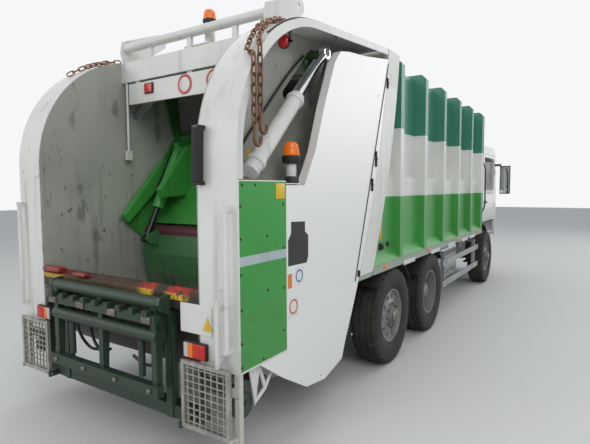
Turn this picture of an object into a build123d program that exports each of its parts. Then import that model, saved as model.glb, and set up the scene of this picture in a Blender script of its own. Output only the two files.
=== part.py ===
from build123d import *
import os
from math import acos, atan2, cos, degrees, hypot, radians, sin, sqrt, tan

# Rear loading garbage truck. Millimetres, +X towards the cab, +Y left, +Z up.
# The origin is on the ground, under the middle of the whole vehicle.

os.makedirs("parts", exist_ok=True)

# Driving dimensions: chassis
WHEELBASE = 3800            # front axle to drive axle
TAG_SPACING = 1380          # drive axle to trailing axle
FRONT_OVERHANG = 1450       # front axle to the bumper's face
REAR_OVERHANG = 2620        # trailing axle to the tailgate's rear face
STEP_REACH = 150            # tailgate's rear face to the rearmost tread
WIDTH = 2500
TYRE_RADIUS = 522
TYRE_WIDTH = 295
RIM_RADIUS = 286
TWIN_SPACING = 335          # between the centres of twin tyres
RAIL_TOP_Z = 985
RAIL_HEIGHT = 270
RAIL_FLANGE = 75
RAIL_WALL = 8
RAIL_OUTER_Y = 430
KINGPIN_Y = 880
MOVE_GAP = 6                # between pieces that move past each other
SEAT_GAP = 0.3              # between curved faces of different pieces

# Driving dimensions: compactor body
BODY_FLOOR_Z = 1055         # underside of the bottom side rail
BODY_RAIL_HEIGHT = 85
BODY_TOP_Z = 3310           # top of the ribs
BODY_FRONT_X_FROM_AXLE = 590  # body's front wall behind the front axle
PANEL_LOW_Y = 1155          # outer face of the side panels, lower half
PANEL_HIGH_Y = 1095         # the same above the fold
FOLD_Z = 2000
ROOF_Z = 3270
SHEET = 6
RIB_WIDTH = 100
RIB_COUNT = 6
FRONT_RIB_INSET = 60        # front wall to the first rib
REAR_RIB_INSET = 70         # rear frame to the last rib, at the roof
FRAME_DEPTH = 300           # body's rear frame along X
HOPPER_HALF = 920           # half the inner width of the tailgate

# Driving dimensions: tailgate
ARCH_RADIUS = 1070
ARCH_Z = 2100
ROOF_SLOPE = 5.8            # degrees, tailgate's roof
OPEN_ANGLE = 85
GUIDE_ANGLE = 45            # degrees, carriage guides
CARRIAGE_STROKE = 550
BLADE_LENGTH = 600
SILL_Z = 1240
BAND_WALL = 10

# Driving dimensions: cab
CAB_WIDTH = 2300
CAB_FLOOR_Z = 1230
CAB_ROOF_Z = 2760
CAB_LENGTH = 1860
CAB_WALL = 40
MIRROR_REACH = 290          # cab's side to the mirrors' outer edge
MIRROR_WIDTH = 200

# Stations worked out from the driving dimensions
FRONT_X = (FRONT_OVERHANG + WHEELBASE + TAG_SPACING + REAR_OVERHANG + STEP_REACH) / 2
FRONT_AXLE_X = FRONT_X - FRONT_OVERHANG
DRIVE_AXLE_X = FRONT_AXLE_X - WHEELBASE
TAG_AXLE_X = DRIVE_AXLE_X - TAG_SPACING
TAIL_X = TAG_AXLE_X - REAR_OVERHANG
REAR_X = TAIL_X - STEP_REACH
AXLE_Z = TYRE_RADIUS
HALF = WIDTH / 2
TYRE_Y = HALF - TYRE_WIDTH / 2
INNER_TYRE_Y = TYRE_Y - TWIN_SPACING
RAIL_Z = RAIL_TOP_Z - RAIL_HEIGHT / 2
BODY_FRONT_X = FRONT_AXLE_X - BODY_FRONT_X_FROM_AXLE
DECK_Z = BODY_FLOOR_Z + BODY_RAIL_HEIGHT
CAB_REAR_X = FRONT_X - CAB_LENGTH - 40
CAB_HALF = CAB_WIDTH / 2

FRAME_TOP_Z = BODY_TOP_Z

# The joint between body and tailgate is an arc through three points
JOINT_LOW = (TAIL_X + 1715, 1083)
JOINT_MID = (TAIL_X + 2180, 2284)
JOINT_TOP = (TAIL_X + 2390, 3240)
HINGE_X = TAIL_X + 2400
HINGE_Z = BODY_TOP_Z + 65


def circle_through(a, b, c):
    """Centre and radius of the circle through three points."""
    d = 2 * (a[0] * (b[1] - c[1]) + b[0] * (c[1] - a[1]) + c[0] * (a[1] - b[1]))
    sa, sb, sc = (p[0] ** 2 + p[1] ** 2 for p in (a, b, c))
    x = (sa * (b[1] - c[1]) + sb * (c[1] - a[1]) + sc * (a[1] - b[1])) / d
    z = (sa * (c[0] - b[0]) + sb * (a[0] - c[0]) + sc * (b[0] - a[0])) / d
    return x, z, hypot(a[0] - x, a[1] - z)


JOINT_CX, JOINT_CZ, JOINT_R = circle_through(JOINT_LOW, JOINT_MID, JOINT_TOP)


def joint_x(z, inset=0):
    """X of the joint's arc at a height, moved rearwards by an inset."""
    return JOINT_CX + sqrt((JOINT_R - inset) ** 2 - (z - JOINT_CZ) ** 2)


RIB_FRONT_X = BODY_FRONT_X - FRONT_RIB_INSET - RIB_WIDTH
RIB_REAR_X = joint_x(ROOF_Z) + FRAME_DEPTH + REAR_RIB_INSET
RIB_PITCH = (RIB_FRONT_X - RIB_REAR_X) / (RIB_COUNT - 1)


def side_plane(y):
    """XZ plane at a distance to the right of the centre line, facing right."""
    return Plane.XZ.offset(y)


def save(piece, label):
    """Names a finished piece and writes its file."""
    piece.part.label = label
    export_step(piece.part, f"parts/{label}.step")


# Chassis frame: two channel rails and cross members
RAIL_REAR_X = JOINT_LOW[0] - 40
RAIL_FRONT_X = FRONT_X - 330
CAB_PIVOT = (FRONT_X - 200, 880)      # tilt axis of the cab
CAB_PIVOT_PIN = 25
PIVOT_LUG_Y = RAIL_OUTER_Y - 38       # inner face of the pivot's lug
PIVOT_LUG_WALL = 20
PIVOT_ARM_Y = PIVOT_LUG_Y - 52        # inner face of the cab's arm
PIVOT_ARM_WALL = 45
CROSS_HEIGHT = 60
CROSS_Z = RAIL_TOP_Z - RAIL_WALL - CROSS_HEIGHT / 2
with BuildPart() as chassis_frame:
    with BuildSketch(Plane.YZ.offset(RAIL_REAR_X)):
        with Locations((RAIL_OUTER_Y - RAIL_FLANGE / 2, RAIL_Z)):
            Rectangle(RAIL_FLANGE, RAIL_HEIGHT)
        with Locations((RAIL_OUTER_Y - RAIL_FLANGE / 2 - RAIL_WALL, RAIL_Z)):
            Rectangle(RAIL_FLANGE, RAIL_HEIGHT - 2 * RAIL_WALL, mode=Mode.SUBTRACT)
    extrude(amount=RAIL_FRONT_X - RAIL_REAR_X)
    mirror(about=Plane.XZ)
    # cross members: station along X, length along X, height of its middle
    for x, length, z in (
        (RAIL_REAR_X + 60, 80, CROSS_Z),
        (TAG_AXLE_X + 640, 80, CROSS_Z),
        (DRIVE_AXLE_X + 640, 80, CROSS_Z),
        (DRIVE_AXLE_X + 1700, 80, CROSS_Z),
        (FRONT_AXLE_X - 1150, 80, CROSS_Z),
        (RAIL_FRONT_X - 60, 90, RAIL_Z),
    ):
        with Locations((x, 0, z)):
            Box(length, 2 * (RAIL_OUTER_Y - RAIL_WALL), CROSS_HEIGHT)
    for side in (-1, 1):
        # lug and pin of the cab's pivot at the front end of the rail
        with BuildSketch(Plane.XZ.offset(-side * (PIVOT_LUG_Y + PIVOT_LUG_WALL / 2) - PIVOT_LUG_WALL / 2)):
            with BuildLine():
                Polyline(
                    (RAIL_FRONT_X - 70, RAIL_TOP_Z),
                    (RAIL_FRONT_X - 70, RAIL_TOP_Z - RAIL_HEIGHT),
                    (RAIL_FRONT_X - 5, RAIL_TOP_Z - RAIL_HEIGHT),
                    (RAIL_FRONT_X - 5, CAB_PIVOT[1] - 80),
                    (CAB_PIVOT[0] + 10, CAB_PIVOT[1] - 45),
                    (CAB_PIVOT[0] + 45, CAB_PIVOT[1]),
                    (CAB_PIVOT[0] + 10, CAB_PIVOT[1] + 45),
                    (RAIL_FRONT_X, RAIL_TOP_Z),
                    close=True,
                )
            make_face()
        extrude(amount=PIVOT_LUG_WALL)
        pin_near = min(side * PIVOT_ARM_Y, side * PIVOT_LUG_Y)
        with BuildSketch(Plane.XZ.offset(-pin_near)):
            with Locations(CAB_PIVOT):
                Circle(CAB_PIVOT_PIN)
        extrude(amount=-(PIVOT_LUG_Y - PIVOT_ARM_Y))
        # rest under the cab's rear edge
        rest_z = (RAIL_TOP_Z + CAB_FLOOR_Z) / 2
        with Locations((CAB_REAR_X + 100, side * (RAIL_OUTER_Y - RAIL_FLANGE / 2), rest_z)):
            Box(80, RAIL_FLANGE, CAB_FLOOR_Z - RAIL_TOP_Z)
save(chassis_frame, "chassis_frame")

# Axles
BEAM_HALF = 45
with BuildPart() as front_axle:
    with BuildSketch(Plane.XZ):
        with Locations((FRONT_AXLE_X, AXLE_Z - 40)):
            Rectangle(2 * BEAM_HALF, 120)
    extrude(amount=520, both=True)
    for side in (-1, 1):
        with BuildSketch(Plane.XZ.offset(-side * 510)):
            with Locations((FRONT_AXLE_X, AXLE_Z - 40)):
                Rectangle(2 * BEAM_HALF, 120)
        with BuildSketch(Plane.XZ.offset(-side * (KINGPIN_Y - 60))):
            with Locations((FRONT_AXLE_X, AXLE_Z)):
                Rectangle(2 * BEAM_HALF, 110)
        loft()
        with Locations((FRONT_AXLE_X, side * KINGPIN_Y, AXLE_Z)):
            Cylinder(48, 130)
        with Locations((FRONT_AXLE_X, side * (KINGPIN_Y - 60), AXLE_Z)):
            Box(90, 60, 110)
        with Locations((FRONT_AXLE_X, side * KINGPIN_Y, AXLE_Z)):
            Cylinder(20.3, 140, mode=Mode.SUBTRACT)
save(front_axle, "front_axle")

AXLE_TUBE = 72
with BuildPart() as drive_axle:
    with BuildSketch(Plane.XZ):
        with Locations((DRIVE_AXLE_X, AXLE_Z)):
            Circle(AXLE_TUBE)
    extrude(amount=INNER_TYRE_Y - 175, both=True)
    with BuildSketch(Plane.XZ):
        with Locations((DRIVE_AXLE_X, AXLE_Z)):
            Circle(32)
    extrude(amount=TYRE_Y + 30, both=True)
    with Locations((DRIVE_AXLE_X, 0, AXLE_Z)):
        Sphere(215)
    with BuildSketch(Plane.YZ.offset(DRIVE_AXLE_X + 100)):
        with Locations((0, AXLE_Z)):
            Circle(110)
    extrude(amount=240)
save(drive_axle, "drive_axle")

TAG_TUBE = 62
with BuildPart() as tag_axle:
    with BuildSketch(Plane.XZ):
        with Locations((TAG_AXLE_X, AXLE_Z)):
            Circle(TAG_TUBE)
    extrude(amount=TYRE_Y - 190, both=True)
    with BuildSketch(Plane.XZ):
        with Locations((TAG_AXLE_X, AXLE_Z)):
            Circle(32)
    extrude(amount=TYRE_Y + 30, both=True)
save(tag_axle, "tag_axle")

# Suspension: leaf packs in front, air bellows and trailing beams behind
SPRING_Y = RAIL_OUTER_Y + 45
SPRING_HALF = 760
BELLOWS_Y = RAIL_OUTER_Y + 102
with BuildPart() as suspension:
    with BuildSketch(side_plane(SPRING_Y - 38)):
        with BuildLine():
            ThreePointArc(
                (FRONT_AXLE_X - SPRING_HALF, RAIL_Z - 40),
                (FRONT_AXLE_X, AXLE_Z + 20.5),
                (FRONT_AXLE_X + SPRING_HALF, RAIL_Z - 40),
            )
            Line((FRONT_AXLE_X + SPRING_HALF, RAIL_Z - 40), (FRONT_AXLE_X + SPRING_HALF, RAIL_Z))
            ThreePointArc(
                (FRONT_AXLE_X + SPRING_HALF, RAIL_Z),
                (FRONT_AXLE_X, AXLE_Z + 92),
                (FRONT_AXLE_X - SPRING_HALF, RAIL_Z),
            )
            Line((FRONT_AXLE_X - SPRING_HALF, RAIL_Z), (FRONT_AXLE_X - SPRING_HALF, RAIL_Z - 40))
        make_face()
    extrude(amount=76)
    for axle_x, tube in ((DRIVE_AXLE_X, AXLE_TUBE), (TAG_AXLE_X, TAG_TUBE)):
        with BuildSketch(side_plane(SPRING_Y - 38)):
            with BuildLine():
                Polyline(
                    (axle_x + 560, AXLE_Z + 190),
                    (axle_x + 560, AXLE_Z + 260),
                    (axle_x + 120, AXLE_Z + 160),
                    (axle_x - 420, AXLE_Z + 110),
                    (axle_x - 420, AXLE_Z + 60),
                    (axle_x - 110, AXLE_Z + tube + SEAT_GAP),
                    (axle_x + 120, AXLE_Z + tube + SEAT_GAP),
                    close=True,
                )
            make_face()
        extrude(amount=76)
        with BuildSketch(Plane.XY.offset(AXLE_Z + 100)):
            with Locations((axle_x - 300, -BELLOWS_Y)):
                Circle(75)
        extrude(amount=RAIL_TOP_Z - AXLE_Z - 100 - 90)
        with Locations((axle_x - 300, -(RAIL_OUTER_Y + BELLOWS_Y) / 2, RAIL_TOP_Z - 80)):
            Box(150, BELLOWS_Y - RAIL_OUTER_Y, 20)
        with Locations((axle_x + 560, -(RAIL_OUTER_Y + 42), AXLE_Z + 270)):
            Box(90, 84, 160)
    for x in (FRONT_AXLE_X - SPRING_HALF, FRONT_AXLE_X + SPRING_HALF):
        with Locations((x, -(RAIL_OUTER_Y + 42), RAIL_Z)):
            Box(90, 84, 140)
    mirror(about=Plane.XZ)
save(suspension, "suspension")

# Driveline: engine block, gearbox and propeller shaft
SHAFT_LENGTH = FRONT_AXLE_X - 900 - DRIVE_AXLE_X - 390
SHAFT_DROP = 860 - AXLE_Z
with BuildPart() as driveline:
    with Locations((FRONT_AXLE_X + 420, 0, 960)):
        Box(1150, 640, 430)
    with BuildSketch(Plane.YZ.offset(FRONT_AXLE_X - 900)):
        with Locations((0, 860)):
            Circle(150)
    with BuildSketch(Plane.YZ.offset(FRONT_AXLE_X - 155)):
        with Locations((0, 900)):
            Circle(215)
    loft()
    with BuildSketch(Plane.YZ.offset(DRIVE_AXLE_X + 340)):
        with Locations((0, AXLE_Z)):
            Circle(55)
    extrude(amount=80)
    with BuildSketch(Plane(
        origin=(DRIVE_AXLE_X + 390, 0, AXLE_Z), z_dir=(SHAFT_LENGTH, 0, SHAFT_DROP)
    )):
        Circle(46)
    extrude(amount=hypot(SHAFT_LENGTH, SHAFT_DROP) + 20)
save(driveline, "driveline")

# Fuel tank on the right, battery box and air tanks on the left
GUARD_X0 = DRIVE_AXLE_X + 720
GUARD_X1 = FRONT_AXLE_X - 700
with BuildPart() as fuel_tank:
    with BuildSketch(Plane.YZ.offset(GUARD_X0 + 260)):
        with Locations((-(RAIL_OUTER_Y + 330), 700)):
            RectangleRounded(560, 560, 90)
    extrude(amount=1150)
    for x in (GUARD_X0 + 420, GUARD_X0 + 1250):
        with Locations((x, -(RAIL_OUTER_Y + 25), RAIL_Z)):
            Box(60, 50, 230)
save(fuel_tank, "fuel_tank")

with BuildPart() as battery_box:
    with BuildSketch(Plane.YZ.offset(GUARD_X0 + 200)):
        with Locations((RAIL_OUTER_Y + 300, 730)):
            RectangleRounded(500, 420, 30)
    extrude(amount=700)
    for z in (620, 880):
        with BuildSketch(Plane.YZ.offset(GUARD_X0 + 980)):
            with Locations((RAIL_OUTER_Y + 240, z)):
                Circle(118)
        extrude(amount=760)
    with Locations((GUARD_X0 + 1300, RAIL_OUTER_Y + 64, 750)):
        Box(60, 128, 300)
    with Locations((GUARD_X0 + 500, RAIL_OUTER_Y + 25, 800)):
        Box(200, 50, 200)
save(battery_box, "battery_box")

# Side guards: two rails on posts, each side
GUARD_RAIL = 90
with BuildPart() as side_guards:
    for z in (480, 800):
        with BuildSketch(Plane.YZ.offset(GUARD_X0)):
            with Locations((-(HALF - 60), z)):
                RectangleRounded(30, GUARD_RAIL, 8)
        extrude(amount=GUARD_X1 - GUARD_X0)
    for x in (GUARD_X0 + 160, GUARD_X1 - 160):
        with Locations((x, -(HALF - 60 - 40), 695)):
            Box(60, 50, 520)
        with Locations((x, -(RAIL_OUTER_Y + HALF - 100) / 2, 930)):
            Box(60, HALF - 100 - RAIL_OUTER_Y, 50)
    mirror(about=Plane.XZ)
save(side_guards, "side_guards")

# Mudguards: one arch over each wheel
FRONT_GUARD_RADIUS = 645
with BuildPart() as mudguards:
    # axle, radius inside, first and last angle, inner and outer edge
    for x, radius, first, last, y0, y1 in (
        (FRONT_AXLE_X, FRONT_GUARD_RADIUS, 28, 168, 950, 1150),
        (DRIVE_AXLE_X, 600, 40, 150, 620, 1245),
        (TAG_AXLE_X, 600, 30, 140, 950, 1245),
    ):
        top = min(radius, BODY_FLOOR_Z - AXLE_Z) if x < FRONT_AXLE_X else radius
        with BuildSketch(side_plane(y0)):
            with BuildLine():
                CenterArc((x, AXLE_Z), radius, first, last - first)
                offset(amount=6, side=Side.RIGHT)
            make_face()
            if top < radius:
                with Locations((x, AXLE_Z + top + 100)):
                    Rectangle(3 * radius, 200, mode=Mode.SUBTRACT)
        extrude(amount=y1 - y0)
    # stay of the front guard, up from the rail and out over the guard
    stay_z = AXLE_Z + FRONT_GUARD_RADIUS
    with Locations((FRONT_AXLE_X - 160, -(RAIL_OUTER_Y + 1150) / 2, stay_z)):
        Box(60, 1150 - RAIL_OUTER_Y, 28)
    with Locations((FRONT_AXLE_X - 160, -(RAIL_OUTER_Y - 15), (RAIL_TOP_Z + stay_z) / 2)):
        Box(60, 30, stay_z - RAIL_TOP_Z)
    mirror(about=Plane.XZ)
save(mudguards, "mudguards")

# Bumper with the entry steps, lamps recessed in its face
BUMPER_TOP_Z = 690
with BuildPart() as bumper:
    with BuildSketch(Plane.XY.offset(350)):
        with BuildLine():
            Polyline(
                (FRONT_X - 330, -CAB_HALF + 30),
                (FRONT_X - 150, -CAB_HALF + 30),
            )
            ThreePointArc(
                (FRONT_X - 150, -CAB_HALF + 30),
                (FRONT_X - 55, -CAB_HALF + 75),
                (FRONT_X - 20, -CAB_HALF + 200),
            )
            ThreePointArc((FRONT_X - 20, -CAB_HALF + 200), (FRONT_X, 0), (FRONT_X - 20, CAB_HALF - 200))
            ThreePointArc(
                (FRONT_X - 20, CAB_HALF - 200),
                (FRONT_X - 55, CAB_HALF - 75),
                (FRONT_X - 150, CAB_HALF - 30),
            )
            Polyline(
                (FRONT_X - 150, CAB_HALF - 30),
                (FRONT_X - 330, CAB_HALF - 30),
                (FRONT_X - 330, CAB_HALF - 90),
                (FRONT_X - 190, CAB_HALF - 90),
                (FRONT_X - 90, CAB_HALF - 230),
                (FRONT_X - 80, 0),
                (FRONT_X - 90, -CAB_HALF + 230),
                (FRONT_X - 190, -CAB_HALF + 90),
                (FRONT_X - 330, -CAB_HALF + 90),
                (FRONT_X - 330, -CAB_HALF + 30),
            )
        make_face()
    extrude(amount=BUMPER_TOP_Z - 350)
    # headlamp recesses
    with BuildSketch(Plane.YZ.offset(FRONT_X - 45)):
        with Locations((-760, 560), (760, 560)):
            RectangleRounded(420, 150, 40)
    extrude(amount=100, mode=Mode.SUBTRACT)
    # brackets to the rails
    for side in (-1, 1):
        with Locations((FRONT_X - 205, side * (RAIL_OUTER_Y - 40), 600)):
            Box(250, 60, 120)
        with Locations((RAIL_FRONT_X + 15, side * (RAIL_OUTER_Y - 40), 640)):
            Box(30, 60, 300)
    # entry steps behind the bumper's ends
    for side in (-1, 1):
        for z in (420, 700, 960):
            with Locations((FRONT_X - 560, side * (CAB_HALF - 140), z)):
                Box(460, 220, 30)
        with Locations((FRONT_X - 560, side * (CAB_HALF - 265), 690)):
            Box(460, 30, 570)
        with Locations((FRONT_X - 345, side * (CAB_HALF - 140), 520)):
            Box(30, 220, 340)
save(bumper, "bumper")

# Compactor body: floor with bottom rails and cross bearers
SUBFRAME_Z = RAIL_TOP_Z
FLOOR_HALF = PANEL_LOW_Y - 40
FLOOR_REAR_X = joint_x(DECK_Z) + FRAME_DEPTH
with BuildPart() as body_floor:
    with BuildSketch(Plane.XY.offset(DECK_Z - 40)):
        with BuildLine():
            Polyline(
                (joint_x(DECK_Z) + 30, -HOPPER_HALF),
                (joint_x(DECK_Z) + FRAME_DEPTH, -HOPPER_HALF),
                (joint_x(DECK_Z) + FRAME_DEPTH, -FLOOR_HALF),
                (BODY_FRONT_X, -FLOOR_HALF),
                (BODY_FRONT_X, FLOOR_HALF),
                (joint_x(DECK_Z) + FRAME_DEPTH, FLOOR_HALF),
                (joint_x(DECK_Z) + FRAME_DEPTH, HOPPER_HALF),
                (joint_x(DECK_Z) + 30, HOPPER_HALF),
                close=True,
            )
        make_face()
    extrude(amount=40)
    # bottom side rails, subframe runners and cross bearers
    for side in (-1, 1):
        with Locations((
            (FLOOR_REAR_X + BODY_FRONT_X) / 2, side * (HALF - 72), BODY_FLOOR_Z + BODY_RAIL_HEIGHT / 2
        )):
            Box(BODY_FRONT_X - FLOOR_REAR_X, 140, BODY_RAIL_HEIGHT)
        with Locations((
            (RAIL_REAR_X + BODY_FRONT_X) / 2 + 60,
            side * (RAIL_OUTER_Y - 38),
            (SUBFRAME_Z + DECK_Z - 40) / 2,
        )):
            Box(BODY_FRONT_X - RAIL_REAR_X - 120, RAIL_FLANGE, DECK_Z - 40 - SUBFRAME_Z)
    for n in range(RIB_COUNT):
        with Locations((BODY_FRONT_X - 80 - n * RIB_PITCH, 0, BODY_FLOOR_Z + 25)):
            Box(80, 2 * (HALF - 70), 50)
save(body_floor, "body_floor")

# Body sides: folded sheet with outside ribs
with BuildPart() as body_sides:
    with BuildSketch(Plane.YZ.offset(FLOOR_REAR_X)):
        with BuildLine():
            FilletPolyline(
                (-(HALF - 4), DECK_Z + 0.3),
                (-PANEL_LOW_Y, DECK_Z + 95),
                (-PANEL_LOW_Y, FOLD_Z),
                (-PANEL_HIGH_Y, FOLD_Z + 60),
                (-PANEL_HIGH_Y, ROOF_Z),
                (-(PANEL_HIGH_Y - 90), ROOF_Z),
                radius=[12, 12, 12, 60],
            )
            offset(amount=SHEET, side=Side.LEFT)
        make_face()
    extrude(amount=BODY_FRONT_X - FLOOR_REAR_X)
    # the rear edge follows the inclined frame
    with BuildSketch(side_plane(PANEL_HIGH_Y - 100)):
        with BuildLine():
            ThreePointArc(
                (joint_x(DECK_Z - 60) + FRAME_DEPTH, DECK_Z - 60),
                (joint_x(2200) + FRAME_DEPTH, 2200),
                (joint_x(FRAME_TOP_Z) + FRAME_DEPTH, FRAME_TOP_Z),
            )
            Polyline(
                (joint_x(FRAME_TOP_Z) + FRAME_DEPTH, FRAME_TOP_Z),
                (FLOOR_REAR_X - 100, FRAME_TOP_Z),
                (FLOOR_REAR_X - 100, DECK_Z - 60),
                (joint_x(DECK_Z - 60) + FRAME_DEPTH, DECK_Z - 60),
            )
        make_face()
    extrude(amount=300, mode=Mode.SUBTRACT)
    # ribs, boxed from the sheet out to the full width
    for n in range(RIB_COUNT):
        with BuildSketch(Plane.YZ.offset(RIB_FRONT_X - n * RIB_PITCH)):
            with BuildLine():
                Polyline(
                    (-HALF, DECK_Z + 0.3),
                    (-HALF, BODY_TOP_Z - 60),
                    (-(HALF - 60), BODY_TOP_Z),
                    (-(PANEL_HIGH_Y - 90), BODY_TOP_Z),
                    (-(PANEL_HIGH_Y - 90), ROOF_Z),
                    (-(PANEL_HIGH_Y - 20), ROOF_Z - 3),
                    (-(PANEL_HIGH_Y - 3), ROOF_Z - 20),
                    (-(PANEL_HIGH_Y - 3), FOLD_Z + 60),
                    (-(PANEL_LOW_Y - 3), FOLD_Z),
                    (-(PANEL_LOW_Y - 3), DECK_Z + 95),
                    (-(HALF - 10), DECK_Z + 0.3),
                    close=True,
                )
            make_face()
        extrude(amount=RIB_WIDTH)
    mirror(about=Plane.XZ)
save(body_sides, "body_sides")

# Body roof with cross ribs
ROOF_HALF = PANEL_HIGH_Y - 90
with BuildPart() as body_roof:
    with Locations(((joint_x(ROOF_Z) + FRAME_DEPTH + BODY_FRONT_X) / 2, 0, ROOF_Z - SHEET / 2)):
        Box(BODY_FRONT_X - joint_x(ROOF_Z) - FRAME_DEPTH, 2 * ROOF_HALF, SHEET)
    for n in range(RIB_COUNT):
        with Locations((RIB_FRONT_X + RIB_WIDTH / 2 - n * RIB_PITCH, 0, (ROOF_Z + BODY_TOP_Z) / 2)):
            Box(RIB_WIDTH, 2 * ROOF_HALF, BODY_TOP_Z - ROOF_Z)
save(body_roof, "body_roof")

# Body front wall with stiffeners
with BuildPart() as body_front_wall:
    with BuildSketch(Plane.YZ.offset(BODY_FRONT_X)):
        with BuildLine():
            Polyline(
                (-(HALF - 2), BODY_FLOOR_Z),
                (-(HALF - 2), BODY_TOP_Z - 60),
                (-(HALF - 62), BODY_TOP_Z),
                (HALF - 62, BODY_TOP_Z),
                (HALF - 2, BODY_TOP_Z - 60),
                (HALF - 2, BODY_FLOOR_Z),
                close=True,
            )
        make_face()
    extrude(amount=SHEET)
    for y in (-750, 0, 750):
        with BuildSketch(Plane.YZ.offset(BODY_FRONT_X + SHEET)):
            with Locations((y, (BODY_FLOOR_Z + BODY_TOP_Z) / 2)):
                Rectangle(90, BODY_TOP_Z - BODY_FLOOR_Z - 160)
        extrude(amount=45, taper=12)
save(body_front_wall, "body_front_wall")

# Body rear frame: inclined portal with a pocket for each lift ram, and the hinge lugs
POCKET_Y0 = 1000
POCKET_Y1 = 1135
HINGE_LUG_Y = (620, 720)
PIN_RADIUS = 30
RAM_Y = (POCKET_Y0 + POCKET_Y1) / 2
RAM_BASE = (joint_x(1400) + 175, 1400)
RAM_HEAD = (HINGE_X - 700, HINGE_Z - 380)
with BuildPart() as body_rear_frame:
    with BuildSketch(side_plane(HOPPER_HALF)):
        with BuildLine():
            ThreePointArc(
                (joint_x(BODY_FLOOR_Z), BODY_FLOOR_Z),
                (joint_x(2200), 2200),
                (joint_x(FRAME_TOP_Z), FRAME_TOP_Z),
            )
            Polyline(
                (joint_x(FRAME_TOP_Z), FRAME_TOP_Z),
                (joint_x(FRAME_TOP_Z) + FRAME_DEPTH - SEAT_GAP, FRAME_TOP_Z),
            )
            ThreePointArc(
                (joint_x(FRAME_TOP_Z) + FRAME_DEPTH - SEAT_GAP, FRAME_TOP_Z),
                (joint_x(2200) + FRAME_DEPTH - SEAT_GAP, 2200),
                (joint_x(BODY_FLOOR_Z) + FRAME_DEPTH - SEAT_GAP, BODY_FLOOR_Z),
            )
            Polyline(
                (joint_x(BODY_FLOOR_Z) + FRAME_DEPTH - SEAT_GAP, BODY_FLOOR_Z),
                (joint_x(BODY_FLOOR_Z), BODY_FLOOR_Z),
            )
        make_face()
    extrude(amount=HALF - HOPPER_HALF)
    # pocket, open to the rear
    with BuildSketch(side_plane(POCKET_Y0)):
        with BuildLine():
            ThreePointArc(
                (joint_x(1180) - 40, 1180),
                (joint_x(2200) - 40, 2200),
                (joint_x(3200) - 40, 3200),
            )
            Line((joint_x(3200) - 40, 3200), (joint_x(3200) + FRAME_DEPTH - 30, 3200))
            ThreePointArc(
                (joint_x(3200) + FRAME_DEPTH - 30, 3200),
                (joint_x(2200) + FRAME_DEPTH - 30, 2200),
                (joint_x(1180) + FRAME_DEPTH - 30, 1180),
            )
            Line((joint_x(1180) + FRAME_DEPTH - 30, 1180), (joint_x(1180) - 40, 1180))
        make_face()
    extrude(amount=POCKET_Y1 - POCKET_Y0, mode=Mode.SUBTRACT)
    # ram's base pin
    with BuildSketch(side_plane(POCKET_Y0 - 10)):
        with Locations(RAM_BASE):
            Circle(25)
    extrude(amount=POCKET_Y1 - POCKET_Y0 + 20)
    mirror(about=Plane.XZ)
    # top beam and bottom sill
    with BuildSketch(Plane.XZ):
        with BuildLine():
            Polyline(
                (joint_x(ROOF_Z - 120), ROOF_Z - 120),
                (joint_x(FRAME_TOP_Z), FRAME_TOP_Z),
                (joint_x(FRAME_TOP_Z) + FRAME_DEPTH - SEAT_GAP, FRAME_TOP_Z),
                (joint_x(ROOF_Z - 120) + FRAME_DEPTH - SEAT_GAP, ROOF_Z - 120),
                close=True,
            )
        make_face()
    extrude(amount=HOPPER_HALF, both=True)
    with BuildSketch(Plane.XZ):
        with BuildLine():
            Polyline(
                (joint_x(BODY_FLOOR_Z), BODY_FLOOR_Z),
                (joint_x(DECK_Z), DECK_Z),
                (joint_x(DECK_Z) + 30 - SEAT_GAP, DECK_Z),
                (joint_x(BODY_FLOOR_Z) + 30, BODY_FLOOR_Z),
                close=True,
            )
        make_face()
    extrude(amount=HOPPER_HALF, both=True)
    # hinge lugs with the pin between them
    for side in (-1, 1):
        for y in HINGE_LUG_Y:
            with BuildSketch(Plane.XZ.offset(-side * y - 15)):
                with BuildLine():
                    Polyline(
                        (HINGE_X - 50, HINGE_Z),
                        (HINGE_X - 30, HINGE_Z + 45),
                        (HINGE_X + 35, HINGE_Z + 45),
                        (HINGE_X + 170, BODY_TOP_Z),
                        (HINGE_X + 5, BODY_TOP_Z),
                        close=True,
                    )
                make_face()
            extrude(amount=30)
        with BuildSketch(Plane.XZ.offset(-side * HINGE_LUG_Y[0] if side < 0 else -HINGE_LUG_Y[1])):
            with Locations((HINGE_X, HINGE_Z)):
                Circle(PIN_RADIUS)
        extrude(amount=HINGE_LUG_Y[1] - HINGE_LUG_Y[0])
save(body_rear_frame, "body_rear_frame")

# Tailgate side walls: inner plate, rear band over the arch and a rim on the outer face
TAIL_BOTTOM_Z = 760
ARCH_X = TAIL_X + ARCH_RADIUS
RIM_WIDTH = 60
ARCH_END = (
    ARCH_X - ARCH_RADIUS * sin(radians(ROOF_SLOPE)),
    ARCH_Z + ARCH_RADIUS * cos(radians(ROOF_SLOPE)),
)
ARCH_MID = (ARCH_X - ARCH_RADIUS * cos(radians(42)), ARCH_Z + ARCH_RADIUS * sin(radians(42)))
JOINT_GAP = 8               # between the body's frame and the tailgate


def tail_joint_x(z):
    """X of the tailgate's front edge at a height."""
    return joint_x(z) - JOINT_GAP


def tail_roof_z(x):
    """Height of the tailgate's roof line behind the joint."""
    return ARCH_END[1] + (x - ARCH_END[0]) * tan(radians(ROOF_SLOPE))


TAIL_TOP_X = tail_joint_x(3290)
TAIL_TOP_Z = tail_roof_z(TAIL_TOP_X)
ROOF_END = (TAIL_TOP_X - 24, tail_roof_z(TAIL_TOP_X - 24))
# lower edge of the tailgate's sides, from rear to front
BELLY = (
    (TAIL_X + 210, TAIL_BOTTOM_Z),
    (TAIL_X + 480, 578),
    (TAIL_X + 790, 400),
    (TAIL_X + 1070, 366),
    (TAIL_X + 1370, 439),
    (tail_joint_x(581), 581),
)

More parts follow.
